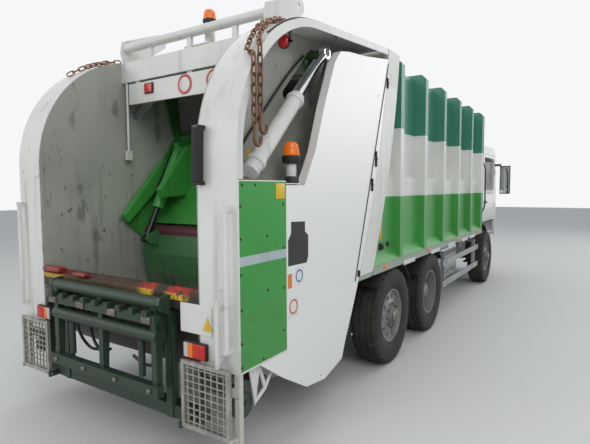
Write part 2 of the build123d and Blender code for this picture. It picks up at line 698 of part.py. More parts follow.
RECESS_SHELF_Z = 1945
SHELF_REACH = 850           # tailgate's rear face to the shelf's front end
PANEL_TOP_Z = 1960          # side panels at the rear corners
SLOT_HALF = 45
ROD_REST = (TAIL_X + 1400, 3060)      # eye of the carriage rod at rest
ROD_DIR = (cos(radians(GUIDE_ANGLE)), sin(radians(GUIDE_ANGLE)))
ROD_LOW = (
    ROD_REST[0] - CARRIAGE_STROKE * ROD_DIR[0],
    ROD_REST[1] - CARRIAGE_STROKE * ROD_DIR[1],
)
with BuildPart() as tailgate_sides:
    # inner plate
    with BuildSketch(side_plane(HOPPER_HALF)):
        with BuildLine():
            Line((TAIL_X, TAIL_BOTTOM_Z), (TAIL_X, ARCH_Z))
            ThreePointArc((TAIL_X, ARCH_Z), ARCH_MID, ARCH_END)
            Line(ARCH_END, (TAIL_TOP_X, TAIL_TOP_Z))
            ThreePointArc(
                (TAIL_TOP_X, TAIL_TOP_Z),
                (tail_joint_x(2200), 2200),
                (tail_joint_x(581), 581),
            )
            Polyline(*reversed(BELLY))
            Line(BELLY[0], (TAIL_X, TAIL_BOTTOM_Z))
        make_face()
        # slot for the carriage's lug
        with Locations(Location(
            ((ROD_REST[0] + ROD_LOW[0]) / 2, (ROD_REST[1] + ROD_LOW[1]) / 2, 0), (0, 0, GUIDE_ANGLE)
        )):
            SlotCenterToCenter(CARRIAGE_STROKE + 20, 2 * SLOT_HALF, mode=Mode.SUBTRACT)
    extrude(amount=BAND_WALL)
    # rear band, from the lower edge over the arch to the joint
    with BuildSketch(side_plane(HOPPER_HALF)):
        with BuildLine():
            Line((TAIL_X, TAIL_BOTTOM_Z), (TAIL_X, ARCH_Z))
            ThreePointArc((TAIL_X, ARCH_Z), ARCH_MID, ARCH_END)
            Line(ARCH_END, ROOF_END)
            offset(amount=BAND_WALL, side=Side.RIGHT)
        make_face()
    extrude(amount=HALF - HOPPER_HALF)
    # rim round the recess on the outer face
    with BuildSketch(side_plane(HALF - BAND_WALL)):
        with BuildLine():
            Line((TAIL_X, PANEL_TOP_Z + 5), (TAIL_X, ARCH_Z))
            ThreePointArc((TAIL_X, ARCH_Z), ARCH_MID, ARCH_END)
            Line(ARCH_END, ROOF_END)
            offset(amount=RIM_WIDTH, side=Side.RIGHT)
        make_face()
    extrude(amount=BAND_WALL)
    # shelf under the recess, narrower where it runs behind the cover
    for x0, x1, edge_y in (
        (TAIL_X + BAND_WALL, TAIL_X + 730, HALF - BAND_WALL - 4),
        (TAIL_X + 730, TAIL_X + SHELF_REACH, HALF - 80),
    ):
        with Locations(((x0 + x1) / 2, -(HOPPER_HALF + BAND_WALL + edge_y) / 2, RECESS_SHELF_Z - 4)):
            Box(x1 - x0, edge_y - HOPPER_HALF - BAND_WALL, 8)
    mirror(about=Plane.XZ)
save(tailgate_sides, "tailgate_sides")

# Side covers: the large outer sheets in front of the recess
PANEL_FRONT_X = TAIL_X + 525
with BuildPart() as side_covers:
    with BuildSketch(side_plane(HALF - BAND_WALL)):
        with BuildLine():
            Polyline(
                (PANEL_FRONT_X, 1930),
                (PANEL_FRONT_X, TAIL_BOTTOM_Z),
                *BELLY,
            )
            ThreePointArc(
                (tail_joint_x(581), 581),
                (tail_joint_x(2200), 2200),
                (tail_joint_x(3200), 3200),
            )
            Polyline(
                (tail_joint_x(3200), 3200),
                (TAIL_X + 1800, 3100),
                (TAIL_X + 1500, 3065),
                (TAIL_X + 1340, 3030),
                (TAIL_X + 1240, 2920),
                (TAIL_X + 1070, 2560),
                (TAIL_X + 930, 2200),
                (TAIL_X + 770, 1930),
                (PANEL_FRONT_X, 1930),
            )
        make_face()
    extrude(amount=BAND_WALL)
    # returned edges along the joint and the recess
    with BuildSketch(side_plane(HALF - 70)):
        with BuildLine():
            Polyline(
                (TAIL_X + 1340, 3030),
                (TAIL_X + 1240, 2920),
                (TAIL_X + 1070, 2560),
                (TAIL_X + 930, 2200),
                (TAIL_X + 770, 1930),
            )
            offset(amount=6, side=Side.LEFT)
        make_face()
    extrude(amount=60)
    mirror(about=Plane.XZ)
save(side_covers, "side_covers")

# Side panels at the rear corners, with the corner post that runs down to the step
PANEL_REAR_X = TAIL_X + BAND_WALL
with BuildPart() as side_panels:
    with BuildSketch(side_plane(HALF - BAND_WALL)):
        with Locations(((PANEL_REAR_X + PANEL_FRONT_X - 2) / 2, (TAIL_BOTTOM_Z + PANEL_TOP_Z) / 2)):
            RectangleRounded(PANEL_FRONT_X - 2 - PANEL_REAR_X, PANEL_TOP_Z - TAIL_BOTTOM_Z, 12)
    extrude(amount=BAND_WALL)
    mirror(about=Plane.XZ)
save(side_panels, "side_panels")

# Hopper trough between the side walls, with the sill at the rear
SILL_X = TAIL_X + 70
BLADE_PIVOT = (TAIL_X + 1100, 1480)
PIVOT_LOW = (
    BLADE_PIVOT[0] - CARRIAGE_STROKE * ROD_DIR[0],
    BLADE_PIVOT[1] - CARRIAGE_STROKE * ROD_DIR[1],
)
TROUGH_RADIUS = BLADE_LENGTH + 40
RAMP_TOP = (tail_joint_x(DECK_Z - 20) - 30, DECK_Z - 20)
ramp_reach = hypot(RAMP_TOP[0] - PIVOT_LOW[0], RAMP_TOP[1] - PIVOT_LOW[1])
ramp_turn = degrees(atan2(RAMP_TOP[1] - PIVOT_LOW[1], RAMP_TOP[0] - PIVOT_LOW[0]))
RAMP_ANGLE = ramp_turn - degrees(acos(TROUGH_RADIUS / ramp_reach))
RAMP_START = (
    PIVOT_LOW[0] + TROUGH_RADIUS * cos(radians(RAMP_ANGLE)),
    PIVOT_LOW[1] + TROUGH_RADIUS * sin(radians(RAMP_ANGLE)),
)
with BuildPart() as hopper_trough:
    with BuildSketch(side_plane(-(HOPPER_HALF - SEAT_GAP))):
        with BuildLine():
            Line((SILL_X, SILL_Z), (PIVOT_LOW[0] - TROUGH_RADIUS, PIVOT_LOW[1]))
            ThreePointArc(
                (PIVOT_LOW[0] - TROUGH_RADIUS, PIVOT_LOW[1]),
                (
                    PIVOT_LOW[0] + TROUGH_RADIUS * cos(radians(225)),
                    PIVOT_LOW[1] + TROUGH_RADIUS * sin(radians(225)),
                ),
                RAMP_START,
            )
            Line(RAMP_START, RAMP_TOP)
            offset(amount=10, side=Side.RIGHT)
        make_face()
    extrude(amount=2 * (HOPPER_HALF - SEAT_GAP))
    # sill beam and stiffening ribs below the trough
    with BuildSketch(side_plane(-(HOPPER_HALF - SEAT_GAP))):
        with BuildLine():
            Polyline(
                (SILL_X, SILL_Z),
                (TAIL_X, SILL_Z - 40),
                (TAIL_X, SILL_Z - 130),
                (TAIL_X + 40, SILL_Z - 160),
                (PIVOT_LOW[0] - TROUGH_RADIUS - 8, PIVOT_LOW[1]),
                close=True,
            )
        make_face()
    extrude(amount=2 * (HOPPER_HALF - SEAT_GAP))
save(hopper_trough, "hopper_trough")

# Tailgate roof between the side walls
PORTAL_X = TAIL_X + 880
with BuildPart() as tailgate_roof:
    with BuildSketch(side_plane(-(HOPPER_HALF - SEAT_GAP))):
        with BuildLine():
            Polyline(
                (PORTAL_X + 40, tail_roof_z(PORTAL_X + 40) - 20),
                (TAIL_TOP_X - 20, tail_roof_z(TAIL_TOP_X - 20) - 20),
                (TAIL_TOP_X - 20, tail_roof_z(TAIL_TOP_X - 20) - 30),
                (PORTAL_X + 40, tail_roof_z(PORTAL_X + 40) - 30),
                close=True,
            )
        make_face()
    extrude(amount=2 * (HOPPER_HALF - SEAT_GAP))
    # front edge beam
    with BuildSketch(side_plane(-(HOPPER_HALF - SEAT_GAP))):
        with BuildLine():
            Polyline(
                (tail_joint_x(3270) - 2, 3270),
                (tail_joint_x(3170) - 2, 3170),
                (tail_joint_x(3170) - 90, 3170),
                (tail_joint_x(3170) - 90, 3265),
                close=True,
            )
        make_face()
    extrude(amount=2 * (HOPPER_HALF - SEAT_GAP))
    # hinge lugs
    for side in (-1, 1):
        with BuildSketch(Plane.XZ.offset(-side * (HINGE_LUG_Y[0] + HINGE_LUG_Y[1]) / 2 - 25)):
            with BuildLine():
                Polyline(
                    (HINGE_X - 330, tail_roof_z(HINGE_X - 330) - 25),
                    (HINGE_X - 60, HINGE_Z + 45),
                    (HINGE_X + 20, HINGE_Z + 48),
                    (HINGE_X + 48, HINGE_Z),
                    (HINGE_X + 20, HINGE_Z - 48),
                    (HINGE_X - 20, HINGE_Z - 52),
                    (tail_joint_x(3260) - 10, 3255),
                    close=True,
                )
            make_face()
            with Locations((HINGE_X, HINGE_Z)):
                Circle(PIN_RADIUS + SEAT_GAP, mode=Mode.SUBTRACT)
        extrude(amount=50)
save(tailgate_roof, "tailgate_roof")

# Portal: round tube on ear plates, box beam below it and the lamp board
TUBE_RADIUS = 41
TUBE_Z = 3280
EAR_Y = 870
EAR_WALL = 20
BEAM_LOW_Z = 2950
ROOF_BEACON = (PORTAL_X + 90, -150, 3385)   # foot of the dome
with BuildPart() as portal:
    with BuildSketch(side_plane(-(EAR_Y - EAR_WALL / 2))):
        with Locations((PORTAL_X - 10, TUBE_Z)):
            Circle(TUBE_RADIUS)
    extrude(amount=2 * EAR_Y - EAR_WALL)
    # ear plates, rising over the roof to the lifting eye
    for side in (-1, 1):
        with BuildSketch(Plane.XZ.offset(-side * EAR_Y - EAR_WALL / 2)):
            with BuildLine():
                Polyline(
                    (PORTAL_X - 75, TUBE_Z - 40),
                    (PORTAL_X - 55, TUBE_Z + 60),
                    (PORTAL_X + 380, TUBE_Z + 240),
                )
                ThreePointArc(
                    (PORTAL_X + 380, TUBE_Z + 240),
                    (PORTAL_X + 475, TUBE_Z + 215),
                    (PORTAL_X + 465, TUBE_Z + 120),
                )
                Polyline(
                    (PORTAL_X + 465, TUBE_Z + 120),
                    (PORTAL_X + 120, tail_roof_z(PORTAL_X + 120) - 19),
                    (PORTAL_X + 38, tail_roof_z(PORTAL_X + 38) - 19),
                    (PORTAL_X + 38, TUBE_Z - 200),
                    (PORTAL_X - 40, TUBE_Z - 200),
                    (PORTAL_X - 75, TUBE_Z - 40),
                )
            make_face()
            with Locations((PORTAL_X + 405, TUBE_Z + 170)):
                Circle(27, mode=Mode.SUBTRACT)
        extrude(amount=EAR_WALL)
    # box beam
    with Locations((PORTAL_X, 0, BEAM_LOW_Z + 95)):
        Box(76, 2 * HOPPER_HALF - 1, 190)
    # lamp board on two hangers
    with Locations((PORTAL_X - 20, 0, 2832)):
        Box(20, 2 * HOPPER_HALF - 200, 195)
    for y in (-700, 0, 700):
        with Locations((PORTAL_X, y, 2930)):
            Box(40, 60, 60)
    # stays between tube and box beam
    for y in (-520, 0, 520):
        with Locations((PORTAL_X - 5, y, TUBE_Z - 80)):
            Box(30, 50, 140)
    # foot of the amber beacon
    with Locations((PORTAL_X + 60, ROOF_BEACON[1] / 2, 3165)):
        Box(140, 140 - ROOF_BEACON[1], 12)
    with BuildSketch(Plane.XY.offset(3171)):
        with Locations(ROOF_BEACON[:2]):
            Circle(45)
    extrude(amount=ROOF_BEACON[2] - 3171)
save(portal, "portal")

# Lamps of the tailgate: beacons, board lamps, side lamps and tail lamps
SIDE_BEACON = (TAIL_X + 790, -1120, 2150)   # foot of the dome
RECESS_LAMP = (ARCH_X - 433, ARCH_Z + ARCH_RADIUS - 240)
TAIL_LAMP_Z = 858
with BuildPart() as lamps:
    # beacon domes: foot place, height
    for x, y, z in ((ROOF_BEACON[0], ROOF_BEACON[1], ROOF_BEACON[2] + SEAT_GAP), SIDE_BEACON):
        with BuildSketch(Plane.XZ.offset(-y)):
            with BuildLine():
                Polyline((x, z + 95), (x, z), (x + 58, z), (x + 54, z + 60))
                ThreePointArc((x + 54, z + 60), (x + 44, z + 84), (x + 20, z + 95))
                Line((x + 20, z + 95), (x, z + 95))
            make_face()
        revolve(axis=Axis((x, y, 0), (0, 0, 1)))
    # red square lamp and two round signs on the board
    with BuildSketch(Plane.YZ.offset(PORTAL_X - 30)):
        with Locations((50, 2850), (-300, 2850)):
            Circle(72)
        with Locations((520, 2860)):
            Rectangle(120, 100)
    extrude(amount=-16)
    # round lamps in the recess, one each side
    for side in (-1, 1):
        with BuildSketch(Plane.YZ.offset(RECESS_LAMP[0])):
            with Locations((side * (HALF - 70), RECESS_LAMP[1])):
                Circle(45)
        extrude(amount=-40)
        with Locations((RECESS_LAMP[0] - 20, side * (HALF - BAND_WALL - 22), RECESS_LAMP[1])):
            Box(30, 44, 16)
        with Locations((RECESS_LAMP[0] - 20, side * (HALF - BAND_WALL - 7), RECESS_LAMP[1] + 51)):
            Box(30, 14, 118)
        # tail lamps on the rear face beside the opening
        with Locations((TAIL_X - 15, side * (HOPPER_HALF - 20), TAIL_LAMP_Z)):
            Box(30, 200, 110)
    # stem of the side beacon, on the shelf
    with BuildSketch(Plane.XY.offset(RECESS_SHELF_Z)):
        with Locations(SIDE_BEACON[:2]):
            Circle(40)
    extrude(amount=SIDE_BEACON[2] - RECESS_SHELF_Z)
save(lamps, "lamps")

# Chains: strands of rings draped over each arch
LINK_WIRE = 15
LINK_INNER = 62
LINK_WIDTH = 50
LINK_PITCH = LINK_INNER - 3 * SEAT_GAP
CHAIN_RADIUS = ARCH_RADIUS + LINK_WIDTH / 2 + 3 * SEAT_GAP
HANG_Y = HALF + LINK_WIDTH / 2 + 3 * SEAT_GAP
EDGE_RISE = 9               # of a hanging strand, where it leaves the arch
# strand's side, first and last angle on the arch, lateral place at its start and end,
# station and lower end of the length that hangs beside the rim, 0 where there is none
CHAIN_STRANDS = (
    (-1, 99, 142, 940, 1180, TAIL_X + 145, 2250),
    (-1, 99, 135, 1010, 1205, TAIL_X + 208, 2330),
    (1, 99, 130, 1010, 1130, 0, 0),
    (1, 101, 120, 1110, 1080, 0, 0),
)


def strand_joints(points):
    """Places along a line of points, one link's pitch apart."""
    joints = [points[0]]
    for start, end in zip(points, points[1:]):
        steps = round((end - start).length) + 1
        for n in range(1, steps + 1):
            reach = start + (end - start) * (n / steps) - joints[-1]
            if reach.length >= LINK_PITCH:
                joints.append(joints[-1] + reach.normalized() * LINK_PITCH)
    return joints


link_planes = []
for side, first, last, y0, y1, hang_x, hang_z in CHAIN_STRANDS:
    line = []
    for angle in range(first, last + 1):
        share = (angle - first) / (last - first)
        radius = CHAIN_RADIUS + (EDGE_RISE * share if hang_z else 0)
        out = Vector(cos(radians(angle)), 0, sin(radians(angle)))
        line.append(Vector(ARCH_X, side * (y0 + (y1 - y0) * share), ARCH_Z) + out * radius)
    if hang_z:
        edge_z = ARCH_Z + sqrt((CHAIN_RADIUS + 2 * EDGE_RISE) ** 2 - (hang_x - ARCH_X) ** 2)
        line += [Vector(hang_x, side * HANG_Y, edge_z), Vector(hang_x, side * HANG_Y, hang_z)]
    joints = strand_joints(line)
    for n, (start, end) in enumerate(zip(joints, joints[1:])):
        along = (end - start).normalized()
        across = (Vector(0, 1, 0) - along * along.Y).normalized()
        link_planes.append(Plane(
            origin=(start + end) / 2,
            x_dir=along,
            z_dir=along.cross(across) if n % 2 else across,
        ))
with BuildPart() as chains:
    with BuildSketch(*link_planes):
        Rectangle(LINK_INNER + 2 * LINK_WIRE, LINK_WIDTH)
        Rectangle(LINK_INNER, LINK_WIDTH - 2 * LINK_WIRE, mode=Mode.SUBTRACT)
    extrude(amount=LINK_WIRE / 2, both=True)
save(chains, "chains")

# Handrails: loops at the rear corners and the hanging bar inside the hopper on the left
HANG_BAR = (PORTAL_X - 20, 860)
HANG_BAR_LOW_Z = 2200
with BuildPart() as handrails:
    for side in (-1, 1):
        with BuildSketch(Plane.XY.offset(900)):
            with Locations((TAIL_X - 45, side * 1195)):
                Circle(16)
        extrude(amount=900)
        for z in (915, 1785):
            with Locations((TAIL_X - 30, side * 1195, z)):
                Box(60, 32, 32)
    with BuildSketch(Plane.XY.offset(HANG_BAR_LOW_Z)):
        with Locations(HANG_BAR):
            Circle(12)
    extrude(amount=BEAM_LOW_Z - HANG_BAR_LOW_Z)
    with Locations((HANG_BAR[0], HANG_BAR[1], HANG_BAR_LOW_Z + 45)):
        Box(60, 34, 90)
save(handrails, "handrails")

# Rear cross beam under the sill, with the posts that carry lamps, lifter and steps
LIFTER_PIVOT = (TAIL_X - 60, 1140)
LIFTER_BOSS_Y = 640
LIFTER_PIN = 28
STEP_HINGE = (TAIL_X - 45, 345)
STEP_PIN = 12
STEP_Y0 = 800
STEP_Y1 = 1214
LUG_WALL = 24
CROSS_BEAM_Z = 375
CROSS_BEAM_HALF = 45
CORNER_POST = 38
with BuildPart() as lifter_frame:
    with Locations((TAIL_X + 60, 0, CROSS_BEAM_Z)):
        Box(100, 2 * (HOPPER_HALF - 20), 2 * CROSS_BEAM_HALF)
    beam_low_z = CROSS_BEAM_Z - CROSS_BEAM_HALF
    for side in (-1, 1):
        with Locations((TAIL_X + 30, side * 620, (beam_low_z + 1079.7) / 2)):
            Box(56, 60, 1079.7 - beam_low_z)
        with Locations((TAIL_X + 35, side * (HOPPER_HALF - 15), (beam_low_z + 980) / 2)):
            Box(50, 29, 980 - beam_low_z)
        # plates that carry the lifter's pivot, against the sill beam
        with BuildSketch(Plane.XZ.offset(-side * LIFTER_BOSS_Y - 15)):
            with BuildLine():
                Polyline(
                    (TAIL_X - 0.2, SILL_Z - 45),
                    (LIFTER_PIVOT[0] - 30, LIFTER_PIVOT[1] + 45),
                    (LIFTER_PIVOT[0] - 48, LIFTER_PIVOT[1]),
                    (LIFTER_PIVOT[0] - 30, LIFTER_PIVOT[1] - 45),
                    (TAIL_X - 0.2, LIFTER_PIVOT[1] - 90),
                    (TAIL_X + 10, LIFTER_PIVOT[1] - 90),
                    (TAIL_X - 0.2, SILL_Z - 140),
                    close=True,
                )
            make_face()
            with Locations(LIFTER_PIVOT):
                Circle(LIFTER_PIN + SEAT_GAP, mode=Mode.SUBTRACT)
        extrude(amount=30)
        # corner posts down to the steps, and the step hinge's lugs
        with Locations((TAIL_X + CORNER_POST / 2, side * (HALF - CORNER_POST / 2), 529.5)):
            Box(CORNER_POST, CORNER_POST, 459)
        with Locations((TAIL_X + 25, side * (HOPPER_HALF + HALF - 30) / 2, 640)):
            Box(50, HALF - HOPPER_HALF - 20, 60)
        for y in (STEP_Y1 + LUG_WALL / 2 + 1, STEP_Y0 - LUG_WALL / 2 - 1):
            with Locations(((STEP_HINGE[0] + TAIL_X - 5) / 2, side * y, STEP_HINGE[1])):
                Box(TAIL_X + 35 - STEP_HINGE[0], LUG_WALL, 40)
        with BuildSketch(Plane.XZ):
            with Locations(STEP_HINGE):
                Circle(STEP_PIN + SEAT_GAP)
        extrude(amount=HALF, both=True, mode=Mode.SUBTRACT)
save(lifter_frame, "lifter_frame")

# Steps: mesh treads folded up against the posts, hinged at the foot
STEP_REACH_Z = 450
STEP_BAR = 26
with BuildPart() as step_right:
    step_y = -(STEP_Y0 + STEP_Y1) / 2
    step_z = STEP_HINGE[1] + STEP_REACH_Z / 2
    step_width = STEP_Y1 - STEP_Y0
    with BuildSketch(Plane.YZ.offset(STEP_HINGE[0] - STEP_BAR / 2)):
        with Locations((step_y, step_z)):
            Rectangle(step_width, STEP_REACH_Z)
            Rectangle(step_width - 2 * STEP_BAR, STEP_REACH_Z - 2 * STEP_BAR, mode=Mode.SUBTRACT)
    extrude(amount=STEP_BAR)
    with BuildSketch(Plane.YZ.offset(STEP_HINGE[0] - 5)):
        with Locations((step_y, step_z)):
            with GridLocations(step_width / 8, 1, 7, 1):
                Rectangle(7, STEP_REACH_Z - STEP_BAR)
            with GridLocations(1, STEP_REACH_Z / 10, 1, 9):
                Rectangle(step_width - STEP_BAR, 7)
    extrude(amount=10)
    with BuildSketch(side_plane(STEP_Y0 - LUG_WALL + 2)):
        with Locations(STEP_HINGE):
            Circle(STEP_PIN)
    extrude(amount=step_width + 2 * LUG_WALL - 4)
save(step_right, "step_right")

with BuildPart() as step_left:
    add(step_right.part.mirror(Plane.XZ))
save(step_left, "step_left")

# Carriage cylinders: fixed barrels in the recesses
CYL_Y = 1065
BARREL_LENGTH = 846
HEAD_BACK = 75
ROD_RADIUS = 32
barrel_head = (ROD_LOW[0] - HEAD_BACK * ROD_DIR[0], ROD_LOW[1] - HEAD_BACK * ROD_DIR[1])
barrel_base = (
    barrel_head[0] - BARREL_LENGTH * ROD_DIR[0],
    barrel_head[1] - BARREL_LENGTH * ROD_DIR[1],
)
with BuildPart() as carriage_cylinders:
    with BuildSketch(Plane(
        origin=(barrel_base[0], -CYL_Y, barrel_base[1]), z_dir=(ROD_DIR[0], 0, ROD_DIR[1])
    )):
        Circle(62)
    extrude(amount=BARREL_LENGTH)
    with BuildSketch(Plane(
        origin=(
            barrel_base[0] + 60 * ROD_DIR[0], -CYL_Y, barrel_base[1] + 60 * ROD_DIR[1]
        ),
        z_dir=(ROD_DIR[0], 0, ROD_DIR[1]),
    )):
        Circle(ROD_RADIUS + SEAT_GAP)
    extrude(amount=BARREL_LENGTH, mode=Mode.SUBTRACT)
    # base bracket on the inner plate
    with Locations((barrel_base[0] - 10, -(HOPPER_HALF + BAND_WALL + 40), barrel_base[1] + 20)):
        Box(110, 80, 90)
    mirror(about=Plane.XZ)
save(carriage_cylinders, "carriage_cylinders")

# Carriage: side plates, front plate, cheek boxes and lugs
CARRIAGE_HALF = HOPPER_HALF - 15
SIDE_WALL = 25
PIVOT_RADIUS = 65
CYL_A = (BLADE_PIVOT[0] + 280, BLADE_PIVOT[1] + 860)
BLADE_LUG = (BLADE_PIVOT[0] - 190, BLADE_PIVOT[1] - 60)
BLADE_CYL_Y = 700
BLADE_OPEN = 80
blade_run = hypot(BLADE_LUG[0] - CYL_A[0], BLADE_LUG[1] - CYL_A[1])
BLADE_DIR = ((BLADE_LUG[0] - CYL_A[0]) / blade_run, (BLADE_LUG[1] - CYL_A[1]) / blade_run)
with BuildPart() as carriage:
    # side plates
    with BuildSketch(side_plane(CARRIAGE_HALF - SIDE_WALL)):
        with BuildLine():
            Polyline(
                (BLADE_PIVOT[0] - 100, BLADE_PIVOT[1] - 40),
                (BLADE_PIVOT[0] - 330, BLADE_PIVOT[1] + 150),
                (BLADE_PIVOT[0] + 120, BLADE_PIVOT[1] + 620),
                (BLADE_PIVOT[0] + 380, BLADE_PIVOT[1] + 980),
                (ROD_REST[0] - 70, ROD_REST[1] - 30),
                (ROD_REST[0] + 10, ROD_REST[1] + 60),
                (BLADE_PIVOT[0] + 440, BLADE_PIVOT[1] + 1420),
                (BLADE_PIVOT[0] + 480, BLADE_PIVOT[1] + 800),
                (BLADE_PIVOT[0] + 110, BLADE_PIVOT[1] + 40),
                (BLADE_PIVOT[0] + 60, BLADE_PIVOT[1] - 90),
                (BLADE_PIVOT[0] - 40, BLADE_PIVOT[1] - 100),
                close=True,
            )
        make_face()
        with Locations(BLADE_PIVOT):
            Circle(40 + SEAT_GAP, mode=Mode.SUBTRACT)
    extrude(amount=SIDE_WALL)
    # stub shaft through the slot to the rod's eye
    with BuildSketch(side_plane(CARRIAGE_HALF - 1)):
        with Locations(ROD_REST):
            Circle(34)
    extrude(amount=CYL_Y + 32 - CARRIAGE_HALF)
    # outer cheek box
    with BuildSketch(side_plane(CARRIAGE_HALF - SIDE_WALL - 80)):
        with BuildLine():
            Polyline(
                (TAIL_X + 760, 1660),
                (TAIL_X + 800, 1590),
                (TAIL_X + 1370, 2110),
                (TAIL_X + 1310, 2230),
                (TAIL_X + 1240, 2200),
                close=True,
            )
        make_face()
    extrude(amount=80)
    # inner cheek box on its gusset
    with BuildSketch(side_plane(530)):
        with BuildLine():
            Polyline(
                (TAIL_X + 970, 1900),
                (TAIL_X + 1010, 1830),
                (BLADE_PIVOT[0] + 230, BLADE_PIVOT[1] + 370),
                (BLADE_PIVOT[0] + 470, BLADE_PIVOT[1] + 800),
                (TAIL_X + 1420, 2390),
                (TAIL_X + 1350, 2360),
                close=True,
            )
        make_face()
    extrude(amount=75)
    # bracket at the top end of the blade cylinder
    with BuildSketch(side_plane(BLADE_CYL_Y - 30)):
        with BuildLine():
            Polyline(
                (CYL_A[0] - 50, CYL_A[1] + 60),
                (CYL_A[0] - 50, CYL_A[1] + 10),
                (CYL_A[0] + 10, CYL_A[1] - 50),
                (BLADE_PIVOT[0] + 470, BLADE_PIVOT[1] + 780),
                (BLADE_PIVOT[0] + 462, BLADE_PIVOT[1] + 960),
                close=True,
            )
        make_face()
    extrude(amount=60)
    # blade cylinder barrel with its bore
    with BuildSketch(Plane(
        origin=(CYL_A[0], -BLADE_CYL_Y, CYL_A[1]), z_dir=(BLADE_DIR[0], 0, BLADE_DIR[1])
    )):
        Circle(58)
    extrude(amount=700)
    with BuildSketch(Plane(
        origin=(CYL_A[0] + 60 * BLADE_DIR[0], -BLADE_CYL_Y, CYL_A[1] + 60 * BLADE_DIR[1]),
        z_dir=(BLADE_DIR[0], 0, BLADE_DIR[1]),
    )):
        Circle(28 + SEAT_GAP)
    extrude(amount=700, mode=Mode.SUBTRACT)
    mirror(about=Plane.XZ)
    # front plate across, with its knee
    with BuildSketch(side_plane(-(CARRIAGE_HALF - SIDE_WALL))):
        with BuildLine():
            Polyline(
                (BLADE_PIVOT[0] + 40, BLADE_PIVOT[1] + 80),
                (BLADE_PIVOT[0] + 470, BLADE_PIVOT[1] + 800),
                (BLADE_PIVOT[0] + 455, BLADE_PIVOT[1] + 1020),
            )
            offset(amount=12, side=Side.RIGHT)
        make_face()
    extrude(amount=2 * (CARRIAGE_HALF - SIDE_WALL))
save(carriage, "carriage")

# Carriage rods with their eyes on the stub shafts
ROD_LENGTH = 800
with BuildPart() as carriage_rods:
    with BuildSketch(Plane(
        origin=(
            ROD_REST[0] - ROD_LENGTH * ROD_DIR[0], -CYL_Y, ROD_REST[1] - ROD_LENGTH * ROD_DIR[1]
        ),
        z_dir=(ROD_DIR[0], 0, ROD_DIR[1]),
    )):
        Circle(ROD_RADIUS)
    extrude(amount=ROD_LENGTH - 40)
    with BuildSketch(side_plane(CYL_Y - 28)):
        with Locations(ROD_REST):
            Circle(55)
    extrude(amount=56)
    with BuildSketch(side_plane(CYL_Y - 28)):
        with Locations(ROD_REST):
            Circle(34 + SEAT_GAP)
    extrude(amount=56, mode=Mode.SUBTRACT)
    mirror(about=Plane.XZ)
save(carriage_rods, "carriage_rods")

# Blade: boxed plate on the pivot tube, with the lugs of its cylinders
BLADE_HALF = CARRIAGE_HALF - SIDE_WALL - MOVE_GAP
with BuildPart() as blade:
    with BuildSketch(side_plane(-BLADE_HALF)):
        with BuildLine():
            px, pz = BLADE_PIVOT
            Polyline(
                (px - 62, pz),
                (px - 85, pz - 220),
                (px - 60, pz - 430),
                (px - 12, pz - BLADE_LENGTH),
                (px + 10, pz - BLADE_LENGTH),
                (px + 35, pz - 430),
                (px + 50, pz - 220),
                (px + 60, pz),
                close=True,
            )
        make_face()
        with Locations(BLADE_PIVOT):
            Circle(PIVOT_RADIUS)
    extrude(amount=2 * BLADE_HALF)
    with BuildSketch(side_plane(-(CARRIAGE_HALF - 2))):
        with Locations(BLADE_PIVOT):
            Circle(40)
    extrude(amount=2 * (CARRIAGE_HALF - 2))
    for side in (-1, 1):
        for y in (-45, 45):
            with BuildSketch(Plane.XZ.offset(-side * BLADE_CYL_Y - y - 10)):
                with BuildLine():
                    Polyline(
                        (px - 40, pz + 40),
                        (BLADE_LUG[0] - 10, BLADE_LUG[1] + 42),
                        (BLADE_LUG[0] - 42, BLADE_LUG[1]),
                        (BLADE_LUG[0] - 10, BLADE_LUG[1] - 42),
                        (px - 60, pz - 140),
                        close=True,
                    )
                make_face()
            extrude(amount=20)
save(blade, "blade")

# Blade rods
BLADE_ROD = 620
with BuildPart() as blade_rods:
    with BuildSketch(Plane(
        origin=(
            BLADE_LUG[0] - BLADE_ROD * BLADE_DIR[0], -BLADE_CYL_Y,
            BLADE_LUG[1] - BLADE_ROD * BLADE_DIR[1],
        ),
        z_dir=(BLADE_DIR[0], 0, BLADE_DIR[1]),
    )):
        Circle(28)
    extrude(amount=BLADE_ROD)
    with BuildSketch(side_plane(BLADE_CYL_Y - 28)):
        with Locations(BLADE_LUG):
            Circle(36)
    extrude(amount=56)
    mirror(about=Plane.XZ)
save(blade_rods, "blade_rods")

# Lift rams: barrels on the body's frame, rods towards the tailgate
ram_rest = hypot(RAM_HEAD[0] - RAM_BASE[0], RAM_HEAD[1] - RAM_BASE[1])
RAM_DIR = ((RAM_HEAD[0] - RAM_BASE[0]) / ram_rest, (RAM_HEAD[1] - RAM_BASE[1]) / ram_rest)
RAM_BARREL = ram_rest - 75
RAM_ROD = 1300
ram_plane = Plane(
    origin=(RAM_BASE[0], -RAM_Y, RAM_BASE[1]), z_dir=(RAM_DIR[0], 0, RAM_DIR[1])
)
with BuildPart() as lift_ram_barrels:
    with BuildSketch(ram_plane.offset(40)):
        Circle(55)
    extrude(amount=RAM_BARREL - 40)
    with BuildSketch(ram_plane.offset(90)):
        Circle(33)
    extrude(amount=RAM_BARREL, mode=Mode.SUBTRACT)
    with BuildSketch(side_plane(RAM_Y - 30)):
        with Locations(RAM_BASE):
            Circle(50)
    extrude(amount=60)
    with BuildSketch(side_plane(RAM_Y - 40)):
        with Locations(RAM_BASE):
            Circle(25 + SEAT_GAP)
    extrude(amount=80, mode=Mode.SUBTRACT)
    mirror(about=Plane.XZ)
save(lift_ram_barrels, "lift_ram_barrels")

